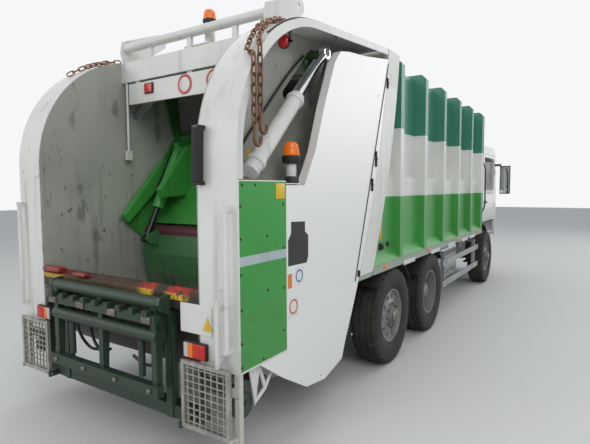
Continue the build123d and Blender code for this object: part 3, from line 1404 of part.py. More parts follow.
with BuildPart() as lift_ram_rods:
    with BuildSketch(ram_plane.offset(ram_rest - RAM_ROD)):
        Circle(33 - SEAT_GAP)
    extrude(amount=RAM_ROD)
    with BuildSketch(side_plane(RAM_Y - 28)):
        with Locations(RAM_HEAD):
            Circle(48)
    extrude(amount=56)
    mirror(about=Plane.XZ)
save(lift_ram_rods, "lift_ram_rods")

# Ejector plate inside the body, parked at the front
EJECTOR_X = BODY_FRONT_X - 700 - joint_x(DECK_Z)
EJECTOR_HALF = PANEL_HIGH_Y - SHEET - 20
EJECTOR_TOP = ROOF_Z - 90
with BuildPart() as ejector_plate:
    with BuildSketch(side_plane(-EJECTOR_HALF)):
        with BuildLine():
            ThreePointArc(
                (joint_x(DECK_Z + 6) + EJECTOR_X, DECK_Z + 6),
                (joint_x(2200) + EJECTOR_X, 2200),
                (joint_x(EJECTOR_TOP) + EJECTOR_X, EJECTOR_TOP),
            )
            Line(
                (joint_x(EJECTOR_TOP) + EJECTOR_X, EJECTOR_TOP),
                (joint_x(EJECTOR_TOP) + EJECTOR_X + 12, EJECTOR_TOP),
            )
            ThreePointArc(
                (joint_x(EJECTOR_TOP) + EJECTOR_X + 12, EJECTOR_TOP),
                (joint_x(2200) + EJECTOR_X + 12, 2200),
                (joint_x(DECK_Z + 6) + EJECTOR_X + 12, DECK_Z + 6),
            )
            Line(
                (joint_x(DECK_Z + 6) + EJECTOR_X + 12, DECK_Z + 6),
                (joint_x(DECK_Z + 6) + EJECTOR_X, DECK_Z + 6),
            )
        make_face()
    extrude(amount=2 * EJECTOR_HALF)
    for y in (-900, -300, 300, 900):
        with BuildSketch(Plane.XZ.offset(y - 15)):
            with BuildLine():
                ThreePointArc(
                    (joint_x(DECK_Z + SEAT_GAP) + EJECTOR_X + 8, DECK_Z + SEAT_GAP),
                    (joint_x(2200) + EJECTOR_X + 8, 2200),
                    (joint_x(EJECTOR_TOP) + EJECTOR_X + 8, EJECTOR_TOP),
                )
                Polyline(
                    (joint_x(EJECTOR_TOP) + EJECTOR_X + 8, EJECTOR_TOP),
                    (joint_x(EJECTOR_TOP) + EJECTOR_X + 60, EJECTOR_TOP),
                    (joint_x(DECK_Z) + EJECTOR_X + 480, DECK_Z + 200),
                    (joint_x(DECK_Z) + EJECTOR_X + 480, DECK_Z + SEAT_GAP),
                    (joint_x(DECK_Z + SEAT_GAP) + EJECTOR_X + 8, DECK_Z + SEAT_GAP),
                )
            make_face()
        extrude(amount=30)
save(ejector_plate, "ejector_plate")

# Bin lifter: cradle of posts hanging from a torsion tube, comb bar and lower stop
LIFTER_HALF = LIFTER_BOSS_Y - 15 - MOVE_GAP
with BuildPart() as bin_lifter:
    with BuildSketch(side_plane(-(LIFTER_BOSS_Y + 14))):
        with Locations(LIFTER_PIVOT):
            Circle(LIFTER_PIN)
    extrude(amount=2 * (LIFTER_BOSS_Y + 14))
    with BuildSketch(side_plane(-LIFTER_HALF)):
        with Locations(LIFTER_PIVOT):
            Circle(44)
    extrude(amount=2 * LIFTER_HALF)
    # posts, tapered towards the foot
    for y in (-LIFTER_HALF + 35, 0, LIFTER_HALF - 35):
        with BuildSketch(Plane.XZ.offset(y - 25)):
            with BuildLine():
                Polyline(
                    (LIFTER_PIVOT[0] - 35, LIFTER_PIVOT[1]),
                    (LIFTER_PIVOT[0] + 35, LIFTER_PIVOT[1]),
                    (LIFTER_PIVOT[0] + 10, 520),
                    (LIFTER_PIVOT[0] - 35, 520),
                    close=True,
                )
            make_face()
        extrude(amount=50)
    # cross tube, comb bar with its teeth, lower stop bar
    with BuildSketch(side_plane(-LIFTER_HALF)):
        with Locations((LIFTER_PIVOT[0] - 5, 915)):
            Circle(50)
    extrude(amount=2 * LIFTER_HALF)
    with Locations((LIFTER_PIVOT[0] - 50, 0, 1040)):
        Box(40, 2 * LIFTER_HALF + 40, 60)
    for n in range(9):
        with Locations(((REAR_X + LIFTER_PIVOT[0] - 45) / 2, (n - 4) * 140, 1080)):
            Box(LIFTER_PIVOT[0] - 45 - REAR_X, 50, 40)
    with Locations((LIFTER_PIVOT[0] - 30, 0, 545)):
        Box(60, 2 * LIFTER_HALF + 40, 80)
save(bin_lifter, "bin_lifter")

# Knuckles: kingpin, stub axle and steering arm
with BuildPart() as knuckle_right:
    with Locations((FRONT_AXLE_X, -KINGPIN_Y, AXLE_Z)):
        Cylinder(20, 250)
    for z in (AXLE_Z - 100, AXLE_Z + 100):
        with Locations((FRONT_AXLE_X, -(KINGPIN_Y + 20), z)):
            Box(110, 130, 50)
    with Locations((FRONT_AXLE_X, -(KINGPIN_Y + 75), AXLE_Z)):
        Box(110, 35, 250)
    with BuildSketch(side_plane(KINGPIN_Y + 80)):
        with Locations((FRONT_AXLE_X, AXLE_Z)):
            Circle(32)
    extrude(amount=TYRE_Y + 30 - KINGPIN_Y - 80)
    with Locations((FRONT_AXLE_X - 150, -(KINGPIN_Y - 20), AXLE_Z - 100)):
        Box(200, 50, 30)
save(knuckle_right, "knuckle_right")

with BuildPart() as knuckle_left:
    add(knuckle_right.part.mirror(Plane.XZ))
save(knuckle_left, "knuckle_left")

# Wheels: tyre and rim sections, revolved about each axle
# tyre section, half of it: distance from the middle, radius
TYRE_SECTION = (
    (TYRE_WIDTH * 0.40, RIM_RADIUS + SEAT_GAP),
    (TYRE_WIDTH * 0.50, RIM_RADIUS + 95),
    (TYRE_WIDTH * 0.50, RIM_RADIUS + 150),
    (TYRE_WIDTH * 0.44, TYRE_RADIUS - 16),
    (TYRE_WIDTH * 0.37, TYRE_RADIUS),
)
STUB_BORE = 32 + SEAT_GAP
# rim sections on the right hand side: distance outwards from the tyre's middle, radius
DISC_RIM = (
    (-118, RIM_RADIUS), (118, RIM_RADIUS), (118, 272), (84, 262), (84, 246), (96, 175),
    (112, 150), (112, 92), (150, 84), (150, STUB_BORE), (-60, STUB_BORE), (-60, 120), (70, 135), (62, 240),
    (30, 262), (-118, 272),
)
DISC_MEET = TWIN_SPACING / 2     # the twin discs lie against each other
DISH_RIM = (
    (-118, RIM_RADIUS), (118, RIM_RADIUS), (118, 272), (-60, 262), (-125, 240), (-143, 210),
    (-143, 150), (20, 130), (50, 105), (50, STUB_BORE), (-DISC_MEET, STUB_BORE), (-DISC_MEET, 235),
    (-150, 256), (-118, 268),
)
INNER_RIM = (
    (-118, RIM_RADIUS), (118, RIM_RADIUS), (118, 268), (150, 256), (DISC_MEET, 235),
    (DISC_MEET, STUB_BORE), (143, STUB_BORE), (143, 210), (105, 262), (-118, 272),
)
HAND_HOLES = 10
HAND_HOLE_RADIUS = 26
HAND_HOLE_PITCH = 208


def mirrored_section(points):
    """Closed outline of a tyre from its half section."""
    return list(points) + [(-y, r) for y, r in reversed(points)]


# name, axle X, tyre middles from the centre line, rim sections
WHEELS = (
    ("front", FRONT_AXLE_X, (TYRE_Y,), (DISC_RIM,)),
    ("drive", DRIVE_AXLE_X, (TYRE_Y, INNER_TYRE_Y), (DISH_RIM, INNER_RIM)),
    ("tag", TAG_AXLE_X, (TYRE_Y,), (DISC_RIM,)),
)
for wheel_name, axle_x, middles, sections in WHEELS:
    hole_y = middles[0] + (80 if len(middles) == 1 else -DISC_MEET)
    with BuildPart() as tyre:
        for y in middles:
            with BuildSketch(Plane.YZ.offset(axle_x)):
                with BuildLine():
                    outline = [(-(y + d), AXLE_Z + r) for d, r in mirrored_section(TYRE_SECTION)]
                    Polyline(*outline, close=True)
                make_face()
            revolve(axis=Axis((axle_x, 0, AXLE_Z), (0, 1, 0)))
    with BuildPart() as rim:
        for y, section in zip(middles, sections):
            with BuildSketch(Plane.YZ.offset(axle_x)):
                with BuildLine():
                    Polyline(*[(-(y + d), AXLE_Z + r) for d, r in section], close=True)
                make_face()
            revolve(axis=Axis((axle_x, 0, AXLE_Z), (0, 1, 0)))
        with BuildSketch(Plane.XZ.offset(hole_y - 60)):
            with Locations((axle_x, AXLE_Z)):
                with PolarLocations(HAND_HOLE_PITCH, HAND_HOLES):
                    Circle(HAND_HOLE_RADIUS)
        extrude(amount=120, mode=Mode.SUBTRACT)
    for side_name, mirrored in (("right", False), ("left", True)):
        with BuildPart() as side_tyre:
            add(tyre.part.mirror(Plane.XZ) if mirrored else tyre.part)
        save(side_tyre, f"tyre_{wheel_name}_{side_name}")
        with BuildPart() as side_rim:
            add(rim.part.mirror(Plane.XZ) if mirrored else rim.part)
        save(side_rim, f"rim_{wheel_name}_{side_name}")

# Cab shell: floor, back wall, roof and pillars
CAB_FRONT_X = FRONT_X - 40
SCREEN_LOW = (CAB_FRONT_X, 1500)
SCREEN_TOP = (CAB_FRONT_X - 130, 2480)
CAB_PROFILE = (
    (CAB_REAR_X, CAB_FLOOR_Z),
    (CAB_REAR_X, CAB_ROOF_Z - 40),
    (CAB_REAR_X + 60, CAB_ROOF_Z),
    (CAB_FRONT_X - 420, CAB_ROOF_Z),
    (CAB_FRONT_X - 190, CAB_ROOF_Z - 110),
    SCREEN_TOP,
    SCREEN_LOW,
    (CAB_FRONT_X, 850),
    (CAB_FRONT_X - 60, 850),
    (CAB_FRONT_X - 120, CAB_FLOOR_Z),
)
DOOR_X0 = CAB_REAR_X + 430
DOOR_X1 = CAB_FRONT_X - 220
DOOR_Z0 = CAB_FLOOR_Z + 40
DOOR_Z1 = 2610
DOOR_WALL = 60
DOOR_GAP = 6
# door hinges: pin, barrel, distance of the axis from the cab's side, levels
DOOR_PIN = 8
DOOR_BARREL = 14
DOOR_AXIS = (DOOR_X1 - DOOR_GAP, CAB_HALF + 15)
DOOR_HINGE_LEVELS = (DOOR_Z0 + 250, DOOR_Z1 - 350)
with BuildPart() as cab_shell:
    with BuildSketch(side_plane(-CAB_HALF)):
        with BuildLine():
            Polyline(*CAB_PROFILE, close=True)
        make_face()
    extrude(amount=CAB_WIDTH)
    with BuildSketch(side_plane(-(CAB_HALF - DOOR_WALL))):
        with BuildLine():
            Polyline(
                (CAB_REAR_X + CAB_WALL, CAB_FLOOR_Z + CAB_WALL),
                (CAB_REAR_X + CAB_WALL, CAB_ROOF_Z - 70),
                (CAB_REAR_X + 90, CAB_ROOF_Z - CAB_WALL),
                (CAB_FRONT_X - 430, CAB_ROOF_Z - CAB_WALL),
                (CAB_FRONT_X - 230, CAB_ROOF_Z - 140),
                (SCREEN_TOP[0] - CAB_WALL, SCREEN_TOP[1] - 10),
                (SCREEN_LOW[0] - CAB_WALL, SCREEN_LOW[1]),
                (CAB_FRONT_X - CAB_WALL, CAB_FLOOR_Z + CAB_WALL),
                close=True,
            )
        make_face()
    extrude(amount=CAB_WIDTH - 2 * DOOR_WALL, mode=Mode.SUBTRACT)
    # front opening for the front panel and the windscreen
    with BuildSketch(Plane.YZ.offset(CAB_FRONT_X - 300)):
        with Locations((0, (SCREEN_LOW[1] + SCREEN_TOP[1]) / 2 + 20)):
            Rectangle(CAB_WIDTH - 200, SCREEN_TOP[1] - SCREEN_LOW[1] - 20)
    extrude(amount=400, mode=Mode.SUBTRACT)
    with BuildSketch(Plane.YZ.offset(CAB_FRONT_X - 125)):
        with Locations((0, (850 + 1480) / 2 - 20)):
            Rectangle(CAB_WIDTH - 2 * DOOR_WALL, 630)
    extrude(amount=200, mode=Mode.SUBTRACT)
    # arms down to the pivots
    for side in (-1, 1):
        arm_near = min(side * PIVOT_ARM_Y, side * (PIVOT_ARM_Y + PIVOT_ARM_WALL))
        with BuildSketch(Plane.XZ.offset(-arm_near)):
            with BuildLine():
                Polyline(
                    (CAB_PIVOT[0] - 90, CAB_FLOOR_Z + 10),
                    (CAB_PIVOT[0] + 25, CAB_FLOOR_Z + 10),
                    (CAB_PIVOT[0] + 48, CAB_PIVOT[1]),
                    (CAB_PIVOT[0] + 20, CAB_PIVOT[1] - 42),
                    (CAB_PIVOT[0] - 20, CAB_PIVOT[1] - 42),
                    (CAB_PIVOT[0] - 48, CAB_PIVOT[1]),
                    close=True,
                )
            make_face()
            with Locations(CAB_PIVOT):
                Circle(CAB_PIVOT_PIN + SEAT_GAP, mode=Mode.SUBTRACT)
        extrude(amount=-PIVOT_ARM_WALL)
    # door openings
    with BuildSketch(side_plane(-CAB_HALF - 10)):
        with Locations(((DOOR_X0 + DOOR_X1) / 2, (DOOR_Z0 + DOOR_Z1) / 2)):
            RectangleRounded(DOOR_X1 - DOOR_X0, DOOR_Z1 - DOOR_Z0, 40)
    extrude(amount=CAB_WIDTH + 20, mode=Mode.SUBTRACT)
    # rear side windows
    with BuildSketch(side_plane(-CAB_HALF - 10)):
        with Locations(((CAB_REAR_X + 100 + DOOR_X0 - 60) / 2, 2180)):
            RectangleRounded(DOOR_X0 - 60 - CAB_REAR_X - 100, 560, 50)
    extrude(amount=CAB_WIDTH + 20, mode=Mode.SUBTRACT)
    # lugs and pins of the door hinges
    for side in (-1, 1):
        for z in DOOR_HINGE_LEVELS:
            with BuildSketch(Plane.XY.offset(z - 56), Plane.XY.offset(z + 31)):
                with Locations((DOOR_AXIS[0], side * DOOR_AXIS[1])):
                    Circle(DOOR_BARREL)
                with Locations((DOOR_X1 + 30, side * (CAB_HALF + 7))):
                    Rectangle(60, 14)
            extrude(amount=25)
            with BuildSketch(Plane.XY.offset(z - 56)):
                with Locations((DOOR_AXIS[0], side * DOOR_AXIS[1])):
                    Circle(DOOR_PIN)
            extrude(amount=112)
save(cab_shell, "cab_shell")

# Cab front panel with its grille slots
with BuildPart() as cab_front:
    with BuildSketch(Plane.YZ.offset(CAB_FRONT_X)):
        with Locations((0, (850 + 1470) / 2)):
            RectangleRounded(CAB_WIDTH - 20, 600, 60)
    extrude(amount=12)
    with BuildSketch(Plane.YZ.offset(CAB_FRONT_X)):
        with Locations((0, 1060)):
            with GridLocations(1, 62, 1, 5):
                RectangleRounded(1400, 34, 10)
    extrude(amount=12, mode=Mode.SUBTRACT)
save(cab_front, "cab_front")

# Windscreen: one pane in the front opening
SCREEN_LEAN = degrees(atan2(SCREEN_LOW[0] - SCREEN_TOP[0], SCREEN_TOP[1] - SCREEN_LOW[1]))
with BuildPart() as windscreen:
    with BuildSketch(Plane.XZ):
        with BuildLine():
            slope = (SCREEN_TOP[0] - SCREEN_LOW[0]) / (SCREEN_TOP[1] - SCREEN_LOW[1])
            low_z = SCREEN_LOW[1] + 31
            top_z = SCREEN_TOP[1] + 9
            low_x = SCREEN_LOW[0] + slope * (low_z - SCREEN_LOW[1])
            top_x = SCREEN_LOW[0] + slope * (top_z - SCREEN_LOW[1])
            Polyline(
                (low_x - 12, low_z), (top_x - 12, top_z), (top_x - 22, top_z),
                (low_x - 22, low_z), close=True,
            )
        make_face()
    extrude(amount=CAB_HALF - 100.5, both=True)
save(windscreen, "windscreen")

# Doors with their window openings
for side_name, side in (("right", -1), ("left", 1)):
    with BuildPart() as door:
        with BuildSketch(Plane.XZ.offset(-side * CAB_HALF - (0 if side > 0 else DOOR_WALL))):
            with Locations(((DOOR_X0 + DOOR_X1) / 2, (DOOR_Z0 + DOOR_Z1) / 2)):
                RectangleRounded(DOOR_X1 - DOOR_X0 - 2 * DOOR_GAP, DOOR_Z1 - DOOR_Z0 - 2 * DOOR_GAP, 36)
            with Locations(((DOOR_X0 + DOOR_X1) / 2, 2200)):
                RectangleRounded(DOOR_X1 - DOOR_X0 - 140, 680, 50, mode=Mode.SUBTRACT)
        extrude(amount=DOOR_WALL)
        # hinge barrels on their straps
        with BuildSketch(*(Plane.XY.offset(z - 30) for z in DOOR_HINGE_LEVELS)):
            with Locations((DOOR_AXIS[0], side * DOOR_AXIS[1])):
                Circle(DOOR_BARREL)
            with Locations((DOOR_AXIS[0] - 40, side * (CAB_HALF + 6))):
                Rectangle(80, 12)
            with Locations((DOOR_AXIS[0], side * DOOR_AXIS[1])):
                Circle(DOOR_PIN + SEAT_GAP, mode=Mode.SUBTRACT)
        extrude(amount=60)
    save(door, f"door_{side_name}")

# Mirrors on arms from the roof corners
MIRROR_INSET = MIRROR_REACH - MIRROR_WIDTH      # cab's side to the mirror's housing
with BuildPart() as mirrors:
    for side in (-1, 1):
        with Locations((CAB_FRONT_X - 60, side * (CAB_HALF + MIRROR_REACH - MIRROR_WIDTH / 2), 2090)):
            Box(120, MIRROR_WIDTH, 620)
        with Locations((CAB_FRONT_X - 140, side * (CAB_HALF + MIRROR_INSET / 2 + 10), 2420)):
            Box(160, MIRROR_INSET + 20, 40)
save(mirrors, "mirrors")

# Seats and dashboard
with BuildPart() as seats:
    for y in (-620, 620):
        with Locations((CAB_REAR_X + 700, y, CAB_FLOOR_Z + CAB_WALL + 110)):
            Box(420, 380, 220)
        with Locations((CAB_REAR_X + 720, y, CAB_FLOOR_Z + CAB_WALL + 280)):
            Box(520, 500, 120)
        with Locations((CAB_REAR_X + 480, y, CAB_FLOOR_Z + CAB_WALL + 600)):
            Box(130, 500, 700)
save(seats, "seats")

with BuildPart() as dashboard:
    with BuildSketch(side_plane(-(CAB_HALF - DOOR_WALL - 20))):
        with BuildLine():
            Polyline(
                (CAB_FRONT_X - 60, CAB_FLOOR_Z + CAB_WALL),
                (CAB_FRONT_X - 60, 1640),
                (CAB_FRONT_X - 260, 1660),
                (CAB_FRONT_X - 330, 1560),
                (CAB_FRONT_X - 250, CAB_FLOOR_Z + CAB_WALL),
                close=True,
            )
        make_face()
    extrude(amount=2 * (CAB_HALF - DOOR_WALL - 20))
    with BuildSketch(Plane(origin=(CAB_FRONT_X - 300, 620, 1600), z_dir=(-0.6, 0, 0.8))):
        Circle(28)
    extrude(amount=150)
    with BuildSketch(Plane(origin=(CAB_FRONT_X - 390, 620, 1720), z_dir=(-0.6, 0, 0.8))):
        Circle(225)
        Circle(195, mode=Mode.SUBTRACT)
        Rectangle(400, 40)
        Circle(60)
    extrude(amount=28)
save(dashboard, "dashboard")
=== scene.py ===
"""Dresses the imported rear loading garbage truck. Metres, +X to the cab, +Y left, +Z up."""

from __future__ import annotations

import logging
import math
from dataclasses import dataclass
from enum import Enum
from typing import Any, Callable, Iterable, Iterator, Sequence

import bmesh
import bpy
from mathutils import Matrix, Vector

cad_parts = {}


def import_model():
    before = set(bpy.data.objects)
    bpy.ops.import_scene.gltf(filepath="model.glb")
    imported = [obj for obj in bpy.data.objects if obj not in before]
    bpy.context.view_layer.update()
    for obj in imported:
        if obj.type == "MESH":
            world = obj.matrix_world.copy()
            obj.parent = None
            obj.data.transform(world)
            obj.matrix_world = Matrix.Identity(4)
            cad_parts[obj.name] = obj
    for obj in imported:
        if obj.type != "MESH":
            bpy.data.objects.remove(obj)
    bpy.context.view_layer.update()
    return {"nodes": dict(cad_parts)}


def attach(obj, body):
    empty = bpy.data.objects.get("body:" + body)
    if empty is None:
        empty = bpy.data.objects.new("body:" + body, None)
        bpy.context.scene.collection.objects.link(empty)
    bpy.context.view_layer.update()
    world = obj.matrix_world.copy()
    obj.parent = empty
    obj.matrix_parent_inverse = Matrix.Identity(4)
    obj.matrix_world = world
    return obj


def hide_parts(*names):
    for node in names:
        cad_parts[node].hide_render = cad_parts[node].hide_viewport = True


log = logging.getLogger("garbage_truck")

Pair = tuple[float, float]
Triple = tuple[float, float, float]
Piece = bpy.types.Object

MIRRORED = Matrix.Scale(-1, 4, (0, 1, 0))
SIDES = (("right", -1), ("left", 1))
AXES = {"X": (1, 0, 0), "Y": (0, 1, 0), "Z": (0, 0, 1)}
SMOOTH_ANGLE = math.radians(38)
BAR_CORNER = math.radians(50)
PLATE_CORNER = math.radians(35)
MERGE = 0.0002


def srgb(red: float, green: float, blue: float) -> tuple[float, float, float, float]:
    """Linear colour of an sRGB colour given from 0 to 255.

    Args:
        red: Red share.
        green: Green share.
        blue: Blue share.

    Returns:
        The linear colour with an alpha of 1.
    """
    linear = [
        c / 12.92 if c <= 0.04045 else ((c + 0.055) / 1.055) ** 2.4
        for c in (red / 255, green / 255, blue / 255)
    ]
    return (linear[0], linear[1], linear[2], 1.0)


class Tone(Enum):
    """Colours of the truck's paints and materials, as sRGB."""

    WHITE = (226, 227, 222)
    OLD_WHITE = (205, 205, 196)
    BRIGHT_GREEN = (70, 158, 76)
    PANEL_GREEN = (50, 152, 60)
    TEAL = (58, 134, 108)
    PALE_GREEN = (150, 168, 150)
    DARK_GREEN = (22, 52, 36)
    ARM_GREEN = (64, 158, 66)
    BLADE_GREEN = (74, 132, 82)
    WORN_WHITE = (176, 178, 168)
    STRIPE = (176, 190, 194)
    PLUM = (96, 44, 56)
    BLUE = (48, 96, 168)
    ORANGE = (222, 120, 34)
    GREY = (128, 131, 128)
    STEEL = (140, 136, 128)
    ZINC = (178, 176, 168)
    GUARD = (164, 168, 170)
    DARK_STEEL = (72, 68, 62)
    BLACK = (22, 22, 23)
    SOOT = (40, 37, 33)
    GRIME = (84, 78, 66)
    RUST = (104, 58, 34)
    DARK_RUST = (62, 38, 26)
    CHROME = (200, 202, 205)
    RED = (196, 30, 24)
    WORN_RED = (150, 44, 38)
    AMBER = (242, 118, 10)
    YELLOW = (228, 186, 40)
    RUBBER = (31, 31, 32)
    FABRIC = (52, 54, 60)
    GLASS = (24, 32, 34)
    SILVER = (214, 218, 220)


def operator(operation: str, swapped: bool = False) -> Callable[..., "Socket"]:
    """Makes a socket's method out of a Math node.

    Args:
        operation: The node's operation.
        swapped: Whether the other value comes first.

    Returns:
        The method, on one or two values.
    """

    def method(first: "Socket", second: Any = None) -> "Socket":
        """Adds the Math node.

        Args:
            first: The socket.
            second: The other value, if there is one.

        Returns:
            The node's value.
        """
        pair = (second, first) if swapped else (first, second)
        values = {n: value for n, value in enumerate(pair) if value is not None}
        return first.tree.node("ShaderNodeMath", {"operation": operation}, values)[0]

    return method


@dataclass(frozen=True, eq=False)
class Socket:
    """A value in a node tree that takes part in Python arithmetic."""

    tree: "Tree"
    link: Any

    __add__ = __radd__ = operator("ADD")
    __sub__ = operator("SUBTRACT")
    __rsub__ = operator("SUBTRACT", swapped=True)
    __mul__ = __rmul__ = operator("MULTIPLY")
    __gt__ = operator("GREATER_THAN")
    __lt__ = operator("LESS_THAN")
    __or__ = operator("MAXIMUM")
    __abs__ = operator("ABSOLUTE")
    fraction = operator("FRACT")

    def rise(self, low: float, high: float) -> "Socket":
        """Goes smoothly from 0 at one value to 1 at another.

        Args:
            low: Value where the result is 0.
            high: Value where it is 1. It may be the smaller one.

        Returns:
            The smooth step.
        """
        if low > high:
            return 1.0 - self.rise(high, low)
        settings = {"interpolation_type": "SMOOTHSTEP"}
        return self.tree.node("ShaderNodeMapRange", settings, {0: self, 1: low, 2: high})[0]


class Tree:
    """Nodes of a material or a world, written as expressions."""

    def __init__(self, owner: Any) -> None:
        """Empties the owner's nodes.

        Args:
            owner: Material or world.
        """
        owner.use_nodes = True
        self.owner = owner
        self.nodes, self.links = owner.node_tree.nodes, owner.node_tree.links
        self.nodes.clear()

    def node(
        self, kind: str, settings: dict[str, Any], values: dict[Any, Any]
    ) -> dict[Any, Socket]:
        """Adds a node of any type.

        Args:
            kind: Node type.
            settings: Properties, set before the sockets.
            values: Input socket, by number or name, to its value, tone or link.

        Returns:
            The node's outputs, by number and name.
        """
        node = self.nodes.new(kind)
        for name, value in settings.items():
            setattr(node, name, value)
        for name, value in values.items():
            if isinstance(value, Socket):
                self.links.new(value.link, node.inputs[name])
            else:
                plain = srgb(*value.value) if isinstance(value, Tone) else value
                node.inputs[name].default_value = plain
        found = {out.name: Socket(self, out) for out in node.outputs}
        return found | {n: Socket(self, out) for n, out in enumerate(node.outputs)}


class Pattern(Tree):
    """A material that varies with the place on the truck."""

    def __init__(self, name: str) -> None:
        """Starts a material of that name with its coordinates.

        Args:
            name: Name of the material.
        """
        super().__init__(bpy.data.materials.new(name))
        self.place = self.node("ShaderNodeTexCoord", {}, {})["Object"]
        parts = self.node("ShaderNodeSeparateXYZ", {}, {0: self.place})
        self.x, self.y, self.z = parts[0], parts[1], parts[2]

    def noise(self, scale: float, detail: float, place: Socket | None = None) -> Socket:
        """Noise round 0.5, from the patches in a metre and the octaves."""
        values = {"Vector": place or self.place, "Scale": scale, "Detail": detail}
        return self.node("ShaderNodeTexNoise", {}, values)[0]

    def grain(self, detail: float, *stretch: float) -> Socket:
        """Drawn out noise, from the octaves and the patches in a metre along each axis."""
        place = self.node("ShaderNodeMapping", {}, {0: self.place, 3: stretch})[0]
        return self.noise(1.0, detail, place)

    def cells(self, scale: float) -> Socket:
        """Distance to the nearest of scattered points."""
        return self.node("ShaderNodeTexVoronoi", {}, {"Vector": self.place, "Scale": scale})[0]

    def coats(self, base: Any, *coats: tuple[Any, Any]) -> Socket:
        """Lays coats over a base colour.

        Args:
            base: Tone or link under the coats.
            *coats: Share from 0 to 1 and colour of each coat, the lowest first.

        Returns:
            The colour of it all.
        """
        settings = {"data_type": "RGBA"}
        for share, colour in coats:
            base = self.node("ShaderNodeMix", settings, {0: share, 6: base, 7: colour})[2]
        return base

    def bump(self, height: Socket, depth: float, strength: float) -> Socket:
        """Normal that a height in 0 to 1 gives at a depth in metres."""
        values = {"Strength": strength, "Distance": depth, "Height": height}
        return self.node("ShaderNodeBump", {}, values)[0]

    def finish(self, **values: Any) -> bpy.types.Material:
        """Adds the surface shader and the output.

        Args:
            **values: Shader sockets with underscores for spaces, and their values.

        Returns:
            The finished material.
        """
        inputs = {name.replace("_", " "): value for name, value in values.items()}
        shader = self.node("ShaderNodeBsdfPrincipled", {}, inputs)
        self.node("ShaderNodeOutputMaterial", {}, {0: shader[0]})
        return self.owner


@dataclass(frozen=True)
class Stuff:
    """What a surface is made of."""

    name: str
    tone: Tone = Tone.BLACK

    def make(self, tree: Pattern) -> bpy.types.Material:
        """Writes the material on an empty tree."""
        raise NotImplementedError


@dataclass(frozen=True)
class Paint(Stuff):
    """Sprayed paint with grime, chips and fine scratches."""

    under: Tone = Tone.RUST
    grime: float = 0.45
    chips: float = 0.3
    roughness: float = 0.34
    low: float = 0.3
    high: float = 3.2
    bands: tuple[tuple[float, Tone], ...] = ()

    def colour(self, tree: Pattern) -> Any:
        """Colour before wear: one tone, or bands with height."""
        edges = ((tree.z.rise(at - 0.002, at + 0.002), tone) for at, tone in self.bands)
        return tree.coats(self.tone, *edges)

    def make(self, tree: Pattern) -> bpy.types.Material:
        """Lays fading, grime, dust, chips and scratches over the colour.

        Args:
            tree: Empty tree of the material.

        Returns:
            The finished material.
        """
        height = tree.z.rise(self.high, self.low) * 0.75 + 0.25
        fade = (tree.noise(0.9, 4) - 0.5) * 0.5 + 0.12
        dirt = tree.grain(6, 11, 11, 0.9).rise(0.52, 0.78) * height * self.grime
        dust = tree.noise(3.1, 8).rise(0.5, 0.85) * height * self.grime * 0.5
        chip = tree.noise(17, 9).rise(0.66, 0.70) * tree.noise(2.3, 3).rise(0.46, 0.62)
        chip = chip * self.chips
        line = tree.grain(3, 160, 160, 7).rise(0.70, 0.76) * 0.35 * self.chips
        speck = tree.noise(38, 5)
        return tree.finish(
            Base_Color=tree.coats(
                self.colour(tree), (fade, Tone.GRIME), (dirt, Tone.GRIME), (dust, Tone.SOOT),
                (chip, self.under), (line, Tone.SOOT),
            ),
            Roughness=(speck - 0.5) * 0.12 + self.roughness + dirt * 0.4 + chip * 0.4,
            Normal=tree.bump(speck * 0.12 - chip, 0.0006, 0.5),
        )


@dataclass(frozen=True)
class WallPaint(Paint):
    """White paint outside, scuffed and grey inside the hopper."""

    inner_y: float = 0.9305

    def colour(self, tree: Pattern) -> Any:
        """Outer tone, and the worn tone with dark scrapes on the inner plates.

        Args:
            tree: Tree of the material.

        Returns:
            The colour before wear.
        """
        scrape = tree.grain(7, 5, 5, 2.2).rise(0.60, 0.66) * 0.45
        gouge = tree.grain(9, 26, 26, 9).rise(0.64, 0.68) * tree.z.rise(2.9, 1.2) * 0.8
        smear = tree.noise(1.4, 6).rise(0.42, 0.8) * 0.55
        worn = tree.coats(
            Tone.WORN_WHITE, (smear, Tone.GREY), (scrape, Tone.DARK_STEEL), (gouge, Tone.SOOT)
        )
        return tree.coats(self.tone, (abs(tree.y) < self.inner_y, worn))


@dataclass(frozen=True)
class ShadedArmPaint(Paint):
    """Green paint of the carriage, with painted shade darkening its upper part, where it runs in
    shadow in the guides.
    """

    shade_start_z: float = 2.25
    black_z: float = 2.75

    def colour(self, tree: Pattern) -> Any:
        """Green below, darkened above by mottled painted shade."""
        # Painted shade: the green turns soot-dark, mottled by noise, from the lower level up to
        # the upper one.
        film = tree.z.rise(self.shade_start_z, self.black_z) * (tree.noise(3, 6) * 0.5 + 0.6)
        return tree.coats(self.tone, (film * 0.9, Tone.SOOT))


@dataclass(frozen=True)
class BladePaint(Paint):
    """Green blade with a bare steel working edge and a plum pivot tube."""

    pivot: Pair = (-3.45, 1.48)
    tube: float = 0.072
    edge_z: float = 1.0

    def colour(self, tree: Pattern) -> Any:
        """Green, with plum on the pivot tube and scoured steel at the edge.

        Args:
            tree: Tree of the material.

        Returns:
            The colour before wear.
        """
        across, up = tree.x - self.pivot[0], tree.z - self.pivot[1]
        on_tube = (across * across + up * up) < self.tube * self.tube
        scour = tree.z.rise(self.edge_z + 0.12, self.edge_z - 0.05)
        rub = tree.noise(6, 8).rise(0.4, 0.7) * scour
        return tree.coats(self.tone, (rub, Tone.STEEL), (on_tube, Tone.PLUM))


@dataclass(frozen=True)
class FramePaint(Paint):
    """Dark green frame with white corner posts."""

    post_y: float = 1.19

    def colour(self, tree: Pattern) -> Any:
        """Dark green inside the posts, white on them."""
        return tree.coats(self.tone, (abs(tree.y) > self.post_y, Tone.OLD_WHITE))


